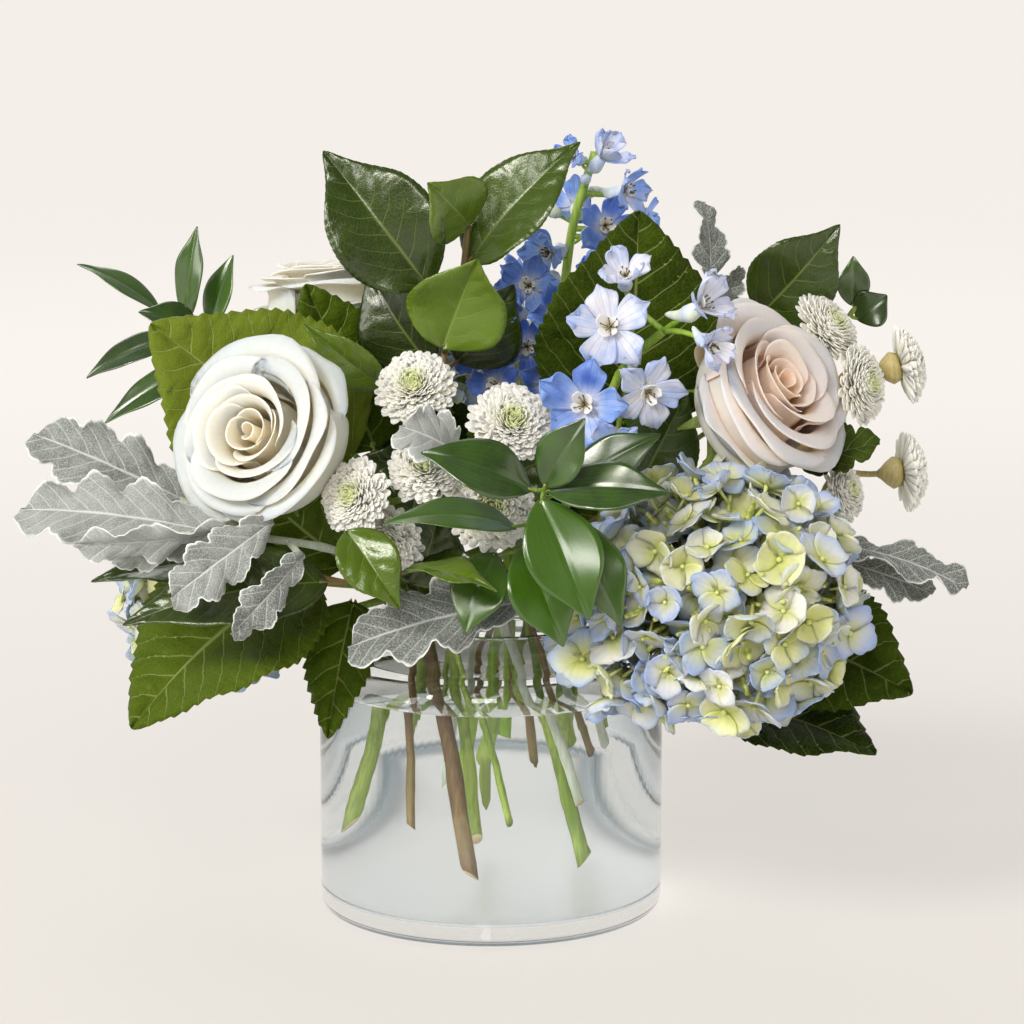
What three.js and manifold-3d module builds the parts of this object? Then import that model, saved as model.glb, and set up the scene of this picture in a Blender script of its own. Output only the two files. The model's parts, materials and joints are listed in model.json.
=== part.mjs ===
// A mixed bouquet in a squat clear glass vase: three hydrangea heads, three roses, two spires of blue
// delphinium, two sprays of button chrysanthemums, and salal, ruscus and dusty miller foliage.
// Millimetres, +Z up. The origin is the centre of the vase's underside, and -Y is the front of the bouquet.
// Every cut stem is one smooth curve from its foot in the water, through the vase's neck, to what it carries.
import * as THREE from "three";
import { ConvexGeometry } from "three/addons/geometries/ConvexGeometry.js";
import { mergeVertices } from "three/addons/utils/BufferGeometryUtils.js";
import Module from "manifold-3d";

const wasm = await Module();
wasm.setup();

// ---- Driving dimensions ----
const VASE_RADIUS = 75;
const VASE_WALL = 3.5;
const VASE_FLOOR = 8;
const SHOULDER_Z = 101;
const NECK_INNER_RADIUS = 45;
const NECK_Z = 128;
const LIP_Z = 139;
const WATER_Z = 99;
const GAP = 0.35; // clear space between two pieces that touch
const GOLDEN_ANGLE = Math.PI * (3 - Math.sqrt(5));

// Stems pass the neck on three nested rings. Each leans out towards its flower, so its foot stands on the far
// side, and stems of one ring never meet. "waist" is the ring's radius at the neck, and "spread" is how far
// the foot leans out.
const RINGS = {
  outer: { waist: 35, spread: 44 },
  middle: { waist: 22, spread: 34 },
  inner: { waist: 9, spread: 20 },
};

// Each stem: its ring, the direction that it leans to in degrees from +X, the height of its foot, its radius,
// and the points that it passes above the neck.
const STEMS = {
  "rose_left": ["middle", 196, 22, 3.4, [[-58, -42, 178], [-74, -50, 199]]],
  "rose_right": ["middle", 311, 16, 3.4, [[66, -26, 172], [94, -38, 204]]],
  "rose_back": ["middle", 122, 34, 3.2, [[-36, 16, 185], [-63, 24, 238]]],
  "hydrangea_right": ["outer", 285, 18, 4.2, [[50, -44, 152], [66, -57, 154]]],
  "hydrangea_left": ["outer", 126, 26, 4.2, [[-62, 20, 148], [-92, 25, 140]]],
  "hydrangea_back": ["outer", 44, 30, 4.2, [[4, 50, 155], [4, 72, 182]]],
  "delphinium_tall": ["inner", 334, 24, 3.2, [[14, 4, 190], [30, 14, 260], [36, 15, 300], [45, 14, 330]]],
  "delphinium_front": ["inner", 286, 40, 3.0, [[36, -30, 190], [56, -50, 245], [72, -62, 262]]],
  "mum_left": ["middle", 227, 48, 2.4, [[-28, -52, 168], [-30, -66, 200]]],
  "mum_right": ["middle", 338, 44, 2.4, [[82, -12, 176], [120, -18, 206], [138, -20, 228]]],
  "dusty_left": ["outer", 191, 46, 2.6, [[-44, -48, 160], [-70, -78, 174], [-96, -88, 180]]],
  "dusty_front": ["outer", 231, 52, 2.4, [[4, -50, 158], [0, -66, 176]]],
  "dusty_right": ["outer", 326, 42, 2.4, [[70, -4, 152], [120, -24, 158], [140, -31, 160]]],
  "dusty_top": ["inner", 42, 36, 2.2, [[48, 26, 190], [84, 26, 248]]],
  "salal_top": ["inner", 230, 36, 2.2, [[-8, -22, 190], [-20, -42, 240], [-12, -30, 280], [-9, -28, 306]]],
  "salal_right": ["middle", 357, 56, 2.0, [[60, 3, 182], [100, 6, 240]]],
  "salal_left": ["outer", 211, 56, 2.0, [[-34, -66, 152], [-58, -84, 160]]],
  "salal_back": ["outer", 98, 40, 2.2, [[-44, 66, 184], [-64, 90, 212]]],
  "ruscus_centre": ["outer", 248, 50, 1.8, [[13, -66, 164], [22, -104, 187], [22, -126, 206]]],
  "ruscus_left": ["outer", 150, 44, 1.8, [[-38, -2, 176], [-62, 14, 200], [-118, 15, 242], [-138, 16, 260]]],
  "ruscus_right": ["middle", 25, 52, 1.8, [[44, 33, 170], [104, 29, 212], [140, 26, 238], [160, 25, 262]]],
  "ruscus_back": ["middle", 42, 48, 1.8, [[48, 58, 184], [74, 80, 232]]],
};

// Leaves: the stem that each grows on, the kind, where its blade starts, its tip, its width,
// the way its upper face looks, and how far its middle bows out that way.
const LEAVES = [
  ["hydrangea_left", "hydrangea", [-64, -27, 196], [-143, -38, 262], 88, [-0.2, -1, 0.5], 7],
  ["hydrangea_left", "hydrangea", [-50, -12, 205], [-79, -14, 276], 54, [0.3, -1, 0.2], 4],
  ["hydrangea_left", "hydrangea", [-78, -46, 155], [-142, -84, 104], 70, [-0.5, -0.8, 0.5], 9],
  ["hydrangea_left", "hydrangea", [-58, -46, 144], [-68, -68, 90], 28, [-0.3, -1, 0.2], 3],
  ["hydrangea_left", "hydrangea", [-88, 88, 146], [-150, 132, 128], 66, [-0.4, 0.4, 1], 8],
  ["hydrangea_right", "hydrangea", [55, -16, 216], [63, -10, 307], 84, [0.3, -1, 0.25], 6],
  ["hydrangea_right", "hydrangea", [116, -29, 129], [178, -62, 108], 60, [-0.1, -0.9, 0.7], 6],
  ["hydrangea_right", "hydrangea", [88, -40, 101], [162, -72, 84], 68, [0.1, -0.35, 1], 5],
  ["hydrangea_back", "hydrangea", [20, 88, 158], [78, 140, 140], 74, [0.3, 0.5, 1], 9],
  ["hydrangea_back", "hydrangea", [-18, 88, 156], [-62, 140, 134], 70, [-0.2, 0.5, 1], 9],
  ["salal_top", "salal", [-26, -40, 278], [-70, -30, 334], 46, [0.1, -1, 0.1], 5],
  ["salal_top", "salal", [-9, -26, 287], [38, -22, 337], 36, [-0.6, -1, 0.3], 5],
  ["salal_top", "salal", [-9, -31, 303], [-24, -52, 323], 32, [-0.2, -0.4, 1], 3],
  ["salal_top", "salal", [-20, -48, 253], [-5, -64, 292], 42, [0.1, -1, 0.1], -4],
  ["salal_top", "salal", [-25, -30, 243], [-52, -14, 283], 38, [-0.6, -1, 0.1], 4],
  ["salal_top", "salal", [-14, -24, 244], [10, -14, 276], 34, [0.5, -1, 0.1], 4],
  ["salal_top", "salal", [-45, -51, 237], [-77, -62, 265], 17, [-0.6, -0.7, 0.5], 4],
  ["salal_right", "salal", [117, 13, 260], [150, 2, 300], 38, [0.3, -1, 0.3], 5],
  ["salal_right", "salal", [100, 18, 226], [96, 60, 258], 34, [-0.2, 0.6, 0.8], 5],
  ["salal_left", "salal", [-67, -88, 161], [-150, -103, 146], 36, [0.1, -0.8, 0.75], 8],
  ["salal_left", "salal", [-84, -62, 164], [-166, -72, 158], 30, [-0.1, -0.6, 0.8], 6],
  ["salal_left", "salal", [-58, -108, 186], [-36, -120, 156], 24, [0.1, -1, 0.35], 4],
  ["salal_left", "salal", [-34, -110, 170], [3, -124, 164], 18, [0.2, -0.35, 1], 4],
  ["salal_back", "salal", [-66, 92, 218], [-98, 116, 262], 44, [-0.3, 0.9, 0.5], 6],
  ["salal_back", "salal", [-62, 88, 227], [-50, 98, 284], 40, [0.1, 1, 0.4], 6],
  ["salal_back", "salal", [-68, 86, 206], [-124, 92, 214], 40, [-0.3, 0.5, 1], 6],
  ["salal_back", "salal", [-64, 98, 208], [-66, 146, 232], 38, [0.2, 0.6, 1], 6],
  ["ruscus_centre", "ruscus", [17, -128, 206], [-27, -132, 222], 25, [-0.1, -0.8, 0.7], 5],
  ["ruscus_centre", "ruscus", [22, -130, 208], [38, -140, 237], 20, [-0.3, -1, 0.2], 3],
  ["ruscus_centre", "ruscus", [23, -128, 206], [72, -140, 207], 22, [0.1, -0.8, 0.6], 4],
  ["ruscus_centre", "ruscus", [30, -118, 205], [69, -116, 227], 19, [0.2, -0.8, 0.6], 3],
  ["ruscus_centre", "ruscus", [20, -130, 203], [40, -150, 157], 31, [0, -1, 0.35], 5],
  ["ruscus_centre", "ruscus", [31, -122, 194], [53, -134, 152], 24, [0.4, -1, 0.2], 3],
  ["ruscus_centre", "ruscus", [13, -108, 180], [30, -122, 141], 27, [0.1, -1, 0.4], 4],
  ["ruscus_centre", "ruscus", [11, -118, 189], [-42, -131, 193], 20, [0, -0.5, 0.9], 6],
  ["ruscus_centre", "ruscus", [2, -96, 175], [-10, -110, 144], 24, [-0.2, -1, 0.4], 3],
  ["ruscus_left", "ruscus", [-144, 17, 261], [-180, 20, 281], 13, [0.2, -0.5, 1], 3],
  ["ruscus_left", "ruscus", [-132, 15, 257], [-127, 14, 298], 14, [-0.6, -1, 0.1], 2],
  ["ruscus_left", "ruscus", [-122, 17, 252], [-112, 20, 285], 15, [-0.8, -1, 0.1], 2],
  ["ruscus_left", "ruscus", [-126, 10, 252], [-152, 4, 262], 17, [0, -0.8, 0.7], 3],
  ["ruscus_left", "ruscus", [-136, 12, 250], [-176, 12, 232], 15, [0.1, -0.7, 0.9], 4],
  ["ruscus_left", "ruscus", [-122, 8, 240], [-167, 0, 214], 15, [0.1, -0.7, 0.8], 4],
  ["ruscus_left", "ruscus", [-104, 22, 228], [-140, 50, 238], 18, [-0.2, 0.4, 1], 4],
  ["ruscus_right", "ruscus", [158, 26, 262], [158, 24, 284], 14, [0.1, -1, 0.1], 2],
  ["ruscus_right", "ruscus", [160, 25, 256], [173, 24, 267], 17, [0.3, -1, 0.4], 2],
  ["ruscus_right", "ruscus", [138, 31, 244], [132, 66, 266], 18, [-0.1, 0.4, 1], 4],
  ["ruscus_right", "ruscus", [140, 30, 236], [172, 56, 232], 19, [0.3, 0.2, 1], 4],
  ["ruscus_back", "ruscus", [73, 85, 234], [64, 96, 276], 20, [-0.2, 1, 0.3], 3],
  ["ruscus_back", "ruscus", [75, 86, 228], [110, 112, 256], 21, [0.3, 0.7, 0.7], 4],
  ["ruscus_back", "ruscus", [72, 84, 222], [104, 124, 218], 21, [0.2, 0.4, 1], 4],
  ["ruscus_back", "ruscus", [66, 78, 214], [56, 122, 226], 21, [-0.2, 0.5, 1], 4],
  ["dusty_left", "dusty", [-127, -60, 190], [-190, -62, 219], 34, [0, -1, 0.5], 4],
  ["dusty_left", "dusty", [-112, -95, 183], [-193, -85, 191], 36, [0, -0.9, 0.7], 5],
  ["dusty_left", "dusty", [-106, -104, 186], [-168, -111, 182], 20, [0, -0.8, -0.6], 3],
  ["dusty_left", "dusty", [-107, -83, 179], [-155, -90, 171], 20, [0, -0.9, 0.6], 3],
  ["dusty_left", "dusty", [-88, -102, 189], [-129, -118, 160], 26, [0.3, -0.9, 0.4], 4],
  ["dusty_left", "dusty", [-75, -110, 177], [-104, -126, 147], 18, [0.6, -0.8, 0.3], 2],
  ["dusty_front", "dusty", [16, -84, 152], [-58, -104, 137], 38, [0, -0.8, 0.7], 5],
  ["dusty_front", "dusty", [-16, -92, 226], [-10, -113, 243], 22, [-0.5, -0.8, 0.4], 3],
  ["dusty_right", "dusty", [146, -39, 168], [203, -36, 148], 21, [0.1, -0.6, 0.9], 4],
  ["dusty_right", "dusty", [148, -22, 158], [190, -23, 143], 20, [0.2, -0.9, 0.4], 4],
  ["dusty_top", "dusty", [95, 26, 266], [93, 32, 307], 17, [0.6, -0.9, 0], 3],
  ["dusty_top", "dusty", [98, 24, 262], [108, 14, 281], 12, [0.4, -0.9, 0.3], 2],
  ["mum_right", "mum", [132, -38, 201], [164, -46, 212], 24, [0.1, -0.8, 0.7], 3],
];

// Blade shapes: how many stations each has from base to tip, how far its widest place lies from the middle
// (skew), how full it is (blunt), how deep its teeth or lobes are, how much each half rises from the rib
// (fold) and how much its edge ripples (wave), both as shares of its width, and its stalk's radius.
const BLADES = {
  salal: { stations: 4, skew: 0.75, blunt: 0.8, teeth: 0, fold: 0.1, wave: 0.05, petiole: 1.0 },
  ruscus: { stations: 4, skew: 0.88, blunt: 0.9, teeth: 0, fold: 0, wave: 0.05, petiole: 0.8 },
  hydrangea: { stations: 6, skew: 0.7, blunt: 0.75, teeth: 0.07, fold: 0.08, wave: 0.05, petiole: 1.8 },
  dusty: { stations: 6, skew: 1.15, blunt: 0.55, teeth: 0.3, fold: 0.06, wave: 0.04, petiole: 1.3 },
  mum: { stations: 5, skew: 0.9, blunt: 0.7, teeth: 0.28, fold: 0.08, wave: 0.04, petiole: 1.0 },
};
const BLADE_THICKNESS = 1.0;

// Roses: centre of the bloom's opening side, the way it faces, its radius and its turn about that axis.
const ROSES = {
  "rose_left": { base: [-82, -62, 210], facing: [-0.5, -0.8, 0.42], radius: 36, turn: 20 },
  "rose_right": { base: [101, -39, 222], facing: [0.52, -0.62, 0.58], radius: 36, turn: 75 },
  "rose_back": { base: [-66, 25, 246], facing: [-0.1, 0.1, 1], radius: 33, turn: 130 },
};
// Rows of a bloom from its back to its heart: petals in the row (0 in a plain row), radius, height, how far
// each petal's lip reaches over the next one, and how far it dips between two petals, all as shares of the
// bloom's radius.
const ROSE_ROWS = [
  [0, 0.28, 0, 0, 0], [0, 0.72, 0.16, 0, 0], [5, 0.88, 0.44, 0.06, 0], [5, 1.02, 0.66, 0.12, 0.12],
  [0, 0.78, 0.6, 0, 0], [5, 0.84, 0.98, 0.1, 0.1], [0, 0.58, 0.78, 0, 0], [4, 0.6, 1.14, 0.1, 0.08],
  [0, 0.38, 0.9, 0, 0], [4, 0.36, 1.2, 0.08, 0.06], [0, 0.16, 1.0, 0, 0],
];
const ROSE_STEPS = 20;

// Hydrangea heads: centre, the way the dome faces, its half-sizes, and how many florets cover it.
const HYDRANGEAS = {
  "hydrangea_right": { centre: [96, -84, 155], facing: [0.45, -0.8, 0.25], size: [59, 50, 54], florets: 36 },
  "hydrangea_left": { centre: [-122, 34, 134], facing: [-0.9, 0.2, 0.3], size: [44, 42, 42], florets: 25 },
  "hydrangea_back": { centre: [4, 92, 206], facing: [0, 0.8, 0.5], size: [50, 42, 46], florets: 25 },
};

// Button chrysanthemums: spray, middle of the head's back, the way it faces, its radius.
const MUMS = [
  ["mum_left", [-30, -66, 236], [-0.15, -0.75, 0.6], 17],
  ["mum_left", [-52, -94, 197], [-0.5, -0.8, 0.3], 16],
  ["mum_left", [-25, -88, 206], [-0.1, -0.8, 0.6], 16],
  ["mum_left", [0, -90, 193], [0.1, -0.95, 0.2], 18],
  ["mum_left", [8, -72, 222], [0.15, -0.8, 0.55], 18],
  ["mum_left", [-40, -78, 178], [-0.3, -0.9, -0.1], 15],
  ["mum_right", [140, -14, 254], [0.6, -0.4, 0.6], 17],
  ["mum_right", [152, -28, 234], [0.8, -0.5, 0.2], 17],
  ["mum_right", [172, -14, 240], [0.95, 0.1, 0.2], 17],
  ["mum_right", [174, -10, 194], [0.95, 0.15, 0.05], 17],
  ["mum_right", [146, -40, 190], [0.75, -0.5, 0.3], 13],
  ["mum_right", [130, 30, 206], [0.5, 0.8, 0.3], 16],
];
const MUM_PETALS = 7; // in each layer

// Delphinium florets: spire, middle, the way each faces, radius.
const DELPHINIUM_FLORETS = [
  ["delphinium_tall", [50, 8, 331], [0.5, -0.4, 0.7], 14],
  ["delphinium_tall", [34, 6, 330], [-0.6, -0.7, 0.4], 11],
  ["delphinium_tall", [61, 10, 314], [0.8, -0.5, 0.2], 14],
  ["delphinium_tall", [50, 0, 300], [0.2, -0.9, 0.2], 15],
  ["delphinium_tall", [70, 20, 298], [0.9, 0.2, 0.3], 14],
  ["delphinium_tall", [36, 34, 306], [-0.2, 0.9, 0.3], 15],
  ["delphinium_tall", [23, 1, 288], [-0.6, -0.8, 0.1], 15],
  ["delphinium_tall", [48, 36, 276], [0.4, 0.8, 0.2], 16],
  ["delphinium_tall", [10, 18, 276], [-0.9, 0.2, 0.2], 16],
  ["delphinium_tall", [6, -8, 262], [-0.6, -0.8, 0.1], 16],
  ["delphinium_tall", [30, -14, 262], [0.3, -1, 0.1], 16],
  ["delphinium_tall", [1, -20, 233], [-0.4, -0.9, 0.1], 15],
  ["delphinium_tall", [24, -26, 234], [0.3, -1, 0], 15],
  ["delphinium_front", [49, -76, 266], [-0.1, -0.95, 0.25], 21],
  ["delphinium_front", [56, -66, 287], [0, -0.8, 0.7], 14],
  ["delphinium_front", [38, -87, 235], [-0.2, -0.95, 0.2], 21],
  ["delphinium_front", [66, -82, 238], [0.3, -0.9, -0.2], 18],
  ["delphinium_front", [90, -76, 276], [0.7, -0.5, 0.5], 17],
  ["delphinium_front", [92, -86, 258], [0.6, -0.8, -0.3], 13],
  ["delphinium_front", [50, -92, 216], [0, -0.9, -0.3], 15],
];

// ---- Solids ----
const vec = (p) => new THREE.Vector3(...p);

// A closed geometry as a solid, with its surface moved out by "grow" along its normals.
function solidFrom(geometry, grow = 0) {
  const bare = geometry.clone();
  bare.deleteAttribute("normal");
  bare.deleteAttribute("uv");
  const merged = mergeVertices(bare, 1e-3);
  if (grow) {
    merged.computeVertexNormals();
    const { position, normal } = merged.attributes;
    for (let k = 0; k < position.count; k++) {
      const out = new THREE.Vector3().fromBufferAttribute(normal, k).multiplyScalar(grow);
      out.add(new THREE.Vector3().fromBufferAttribute(position, k));
      position.setXYZ(k, out.x, out.y, out.z);
    }
  }
  const faces = new Uint32Array(merged.index.array);
  const vertices = new Float32Array(merged.attributes.position.array);
  return new wasm.Manifold(new wasm.Mesh({ numProp: 3, vertProperties: vertices, triVerts: faces }));
}

function geometryFrom(solid) {
  const mesh = solid.getMesh();
  const geometry = new THREE.BufferGeometry();
  geometry.setAttribute("position", new THREE.BufferAttribute(new Float32Array(mesh.vertProperties), 3));
  geometry.setIndex(new THREE.BufferAttribute(new Uint32Array(mesh.triVerts), 1));
  return geometry;
}

// A closed plate between two equal grids of points: rows run along it and columns across it.
function plate(front, back) {
  const rows = front.length;
  const columns = front[0].length;
  const points = [...front.flat(), ...back.flat()];
  const faces = [];
  const at = (side, i, j) => side * rows * columns + i * columns + j;
  for (let i = 0; i < rows - 1; i++)
    for (let j = 0; j < columns - 1; j++) {
      const [a, b, c, d] = [at(0, i, j), at(0, i, j + 1), at(0, i + 1, j + 1), at(0, i + 1, j)];
      const shift = rows * columns;
      faces.push(a, b, c, a, c, d, a + shift, c + shift, b + shift, a + shift, d + shift, c + shift);
    }
  const wall = (p, q) => {
    const shift = rows * columns;
    faces.push(p, p + shift, q + shift, p, q + shift, q);
  };
  for (let j = 0; j < columns - 1; j++) {
    wall(at(0, 0, j), at(0, 0, j + 1));
    wall(at(0, rows - 1, j + 1), at(0, rows - 1, j));
  }
  for (let i = 0; i < rows - 1; i++) {
    wall(at(0, i + 1, 0), at(0, i, 0));
    wall(at(0, i, columns - 1), at(0, i + 1, columns - 1));
  }
  const geometry = new THREE.BufferGeometry();
  geometry.setAttribute("position", new THREE.Float32BufferAttribute(points.flatMap((p) => p.toArray()), 3));
  geometry.setIndex(faces);
  const made = solidFrom(geometry);
  if (made.volume() > 0) return made;
  for (let k = 0; k < faces.length; k += 3) [faces[k], faces[k + 1]] = [faces[k + 1], faces[k]];
  geometry.setIndex(faces);
  return solidFrom(geometry);
}

// A closed surface through rings of points, from a middle point at the back to one at the front.
function ringSurface(back, rings, front, grow) {
  const around = rings[0].length;
  const points = [back, front, ...rings.flat()];
  const at = (row, k) => 2 + row * around + (k % around);
  const last = rings.length - 1;
  const faces = [];
  for (let k = 0; k < around; k++) {
    faces.push(0, at(0, k + 1), at(0, k), 1, at(last, k), at(last, k + 1));
    for (let row = 0; row < last; row++) {
      const [a, b, c, d] = [at(row, k), at(row, k + 1), at(row + 1, k + 1), at(row + 1, k)];
      faces.push(a, b, c, a, c, d);
    }
  }
  const geometry = new THREE.BufferGeometry();
  geometry.setAttribute("position", new THREE.Float32BufferAttribute(points.flatMap((p) => p.toArray()), 3));
  geometry.setIndex(faces);
  return solidFrom(geometry, grow);
}

function tube(curve, radius, steps, sides = 6) {
  const section = new THREE.Shape();
  for (let k = 0; k < sides; k++) {
    const angle = (2 * Math.PI * k) / sides;
    section[k ? "lineTo" : "moveTo"](radius * Math.cos(angle), radius * Math.sin(angle));
  }
  const geometry = new THREE.ExtrudeGeometry(section, { steps, extrudePath: curve, bevelEnabled: false });
  return solidFrom(geometry);
}

const straight = (from, to, radius, sides = 5) => tube(new THREE.LineCurve3(from, to), radius, 1, sides);

// The turn that takes +Z to a direction.
const turnTo = (direction) =>
  new THREE.Quaternion().setFromUnitVectors(new THREE.Vector3(0, 0, 1), direction.clone().normalize());

function ball(centre, halfSizes, direction, across = 10, down = 6) {
  const geometry = new THREE.SphereGeometry(1, across, down).rotateX(Math.PI / 2).scale(...halfSizes);
  return solidFrom(geometry.applyQuaternion(turnTo(direction)).translate(...centre.toArray()));
}

// A small cone from root to tip with few sides.
function spike(root, tip, radius, sides = 3) {
  const along = tip.clone().sub(root);
  const geometry = new THREE.ConeGeometry(radius, along.length(), sides).rotateX(Math.PI / 2);
  geometry.applyQuaternion(turnTo(along)).translate(...root.clone().add(tip).multiplyScalar(0.5).toArray());
  return solidFrom(geometry);
}

const joined = (solids) => wasm.Manifold.union(solids);

// ---- Stems ----
function ringPoint(ring, lean, z) {
  const { waist, spread } = RINGS[ring];
  const angle = THREE.MathUtils.degToRad(lean);
  const out = (-spread * (NECK_Z - z)) / NECK_Z;
  return new THREE.Vector3(
    -waist * Math.sin(angle) + out * Math.cos(angle),
    waist * Math.cos(angle) + out * Math.sin(angle),
    z,
  );
}

const COLLAR_Z = 143;
function stemCurve(name, grow = 0) {
  const [ring, lean, foot, , above] = STEMS[name];
  const below = [foot - grow, (foot + NECK_Z) / 2, NECK_Z, COLLAR_Z].map((z) => ringPoint(ring, lean, z));
  return new THREE.CatmullRomCurve3([...below, ...above.map(vec)]);
}

// A stem is drawn through a few evenly spaced points of its curve.
const STEM_STEPS = 7;
const stem = (name, grow) => {
  const radius = STEMS[name][3];
  return tube(stemCurve(name, grow), radius + grow, STEM_STEPS, radius > 2.5 ? 5 : 4);
};

// The point of a stem where a side shoot to "target" leaves it: a little below the nearest point.
// The last stretch of a hydrangea's stem is bare, because it stands in the head.
function shootPoint(name, target) {
  const knots = stemCurve(name).getSpacedPoints(STEM_STEPS);
  const steps = name in HYDRANGEAS ? STEM_STEPS - 1 : STEM_STEPS;
  const reach = 0.5;
  const cost = (p) => p.distanceTo(target) + reach * Math.max(0, p.z - target.z);
  let best = knots[steps];
  for (let i = 0; i < steps; i++)
    for (let k = 0; k < 10; k++) {
      const p = knots[i].clone().lerp(knots[i + 1], k / 10);
      if (p.z > COLLAR_Z && cost(p) < cost(best)) best = p;
    }
  return best;
}

// A shoot sinks into the stem at its root and into what it carries at its tip.
function shoot(name, target, radius, grow) {
  const root = shootPoint(name, target);
  const along = target.clone().sub(root);
  if (along.length() < 2 * radius) along.set(0, 0, 2 * radius);
  const end = root.clone().add(along).addScaledVector(along.clone().normalize(), 1.5);
  return straight(root, end, radius + grow, 3);
}

// ---- Leaves ----
function bladeHalfWidth(kind, t, station) {
  const { skew, blunt, teeth } = BLADES[kind];
  const body = Math.pow(Math.max(0, Math.sin(Math.PI * Math.pow(t, skew))), blunt);
  return body * (station % 2 ? 1 : 1 - teeth);
}

// One closed blade with its stalk: the first row of points is sunk in the stem, the second is its foot.
function leaf([name, kind, from, to, width, facing, bow], grow) {
  const blade = BLADES[kind];
  const base = vec(from);
  const along = vec(to).sub(base);
  const length = along.length();
  along.normalize();
  const up = vec(facing);
  up.addScaledVector(along, -up.dot(along)).normalize();
  const side = new THREE.Vector3().crossVectors(along, up);
  const half = width / 2;
  const root = shootPoint(name, base);
  const stalk = base.clone().sub(root).normalize();
  const rootSide = side.clone().addScaledVector(stalk, -side.dot(stalk));
  if (rootSide.length() < 0.4) rootSide.crossVectors(stalk, up);
  rootSide.normalize();
  const rootUp = new THREE.Vector3().crossVectors(rootSide, stalk);
  const thick = blade.petiole;
  const columns = blade.fold ? [-1, 0, 1] : [-1, 1];
  const across = (middle, sideways, reach) =>
    columns.map((s) => middle.clone().addScaledVector(sideways, s * (reach + grow)));
  const grid = (face) => {
    const rows = [across(root.clone().addScaledVector(rootUp, face * (0.8 * thick + grow)), rootSide, thick)];
    for (let i = 0; i <= blade.stations; i++) {
      const t = i / blade.stations;
      const reach = half * bladeHalfWidth(kind, t, i) + (i ? 0.9 : thick);
      const ripple = blade.wave * width * Math.sin(2.2 * Math.PI * t);
      const depth = (i ? BLADE_THICKNESS / 2 : 0.6 * thick) + grow;
      const middle = base.clone().addScaledVector(along, t * length + (i === blade.stations ? grow : 0));
      middle.addScaledVector(up, bow * 4 * t * (1 - t) + face * depth);
      const row = across(middle, side, reach);
      row[0].addScaledVector(up, blade.fold * reach * 2 - ripple * (reach / half));
      row[row.length - 1].addScaledVector(up, blade.fold * reach * 2 + ripple * (reach / half));
      rows.push(row);
    }
    return rows;
  };
  return plate(grid(1), grid(-1));
}

const leavesOf = (name) => LEAVES.filter((row) => row[0] === name);

function leafyStem(name, grow, extras = []) {
  const parts = [stem(name, grow), ...extras];
  for (const row of leavesOf(name)) parts.push(leaf(row, grow));
  return joined(parts);
}

// ---- Roses ----
function roseFrame({ base, facing, turn }) {
  const spin = new THREE.Quaternion().setFromAxisAngle(vec([0, 0, 1]), THREE.MathUtils.degToRad(turn));
  const rotation = turnTo(vec(facing)).multiply(spin);
  return (x, y, z) => new THREE.Vector3(x, y, z).applyQuaternion(rotation).add(vec(base));
}

function roseBloom(name, grow = 0) {
  const rose = ROSES[name];
  const place = roseFrame(rose);
  const rings = ROSE_ROWS.map(([petals, radius, height, over, dip], row) =>
    Array.from({ length: ROSE_STEPS }, (_, k) => {
      const angle = (2 * Math.PI * (k + 0.5 * row)) / ROSE_STEPS;
      const part = petals ? ((k * petals) / ROSE_STEPS + 0.37 * row) % 1 : 0.5;
      const r = rose.radius * (radius + over * (part - 0.5));
      const z = rose.radius * (height - dip * 4 * Math.pow(part - 0.5, 2)) + GAP;
      return place(r * Math.cos(angle), r * Math.sin(angle), z);
    }),
  );
  return ringSurface(place(0, 0, GAP), rings, place(0, 0, 1.1 * rose.radius), grow);
}

// The green cup under the bloom with its five drooping sepals.
function roseCalyx(name, grow) {
  const rose = ROSES[name];
  const place = roseFrame(rose);
  const axis = place(0, 0, 1).sub(place(0, 0, 0));
  const parts = [ball(place(0, 0, -6.6), [7 + grow, 7 + grow, 6.5 + grow], axis, 6, 4)];
  for (let k = 0; k < 5; k++) {
    const angle = (2 * Math.PI * k) / 5;
    const root = place(4 * Math.cos(angle), 4 * Math.sin(angle), -4);
    const tip = place(19 * Math.cos(angle), 19 * Math.sin(angle), -9 - 4 * (k % 2));
    parts.push(spike(root, tip, 3 + grow, 3));
  }
  parts.push(straight(stemCurve(name).getPoint(1), place(0, 0, -6), STEMS[name][3] + grow, 5));
  return parts;
}

// ---- Hydrangea heads ----
// Evenly spread directions on a sphere, from the pole at +Z down to 1 - reach.
function domeDirections(count, reach) {
  return Array.from({ length: count }, (_, k) => {
    const z = 1 - reach * ((k + 0.5) / count);
    const r = Math.sqrt(1 - z * z);
    const angle = k * GOLDEN_ANGLE;
    return new THREE.Vector3(r * Math.cos(angle), r * Math.sin(angle), z);
  });
}

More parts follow.
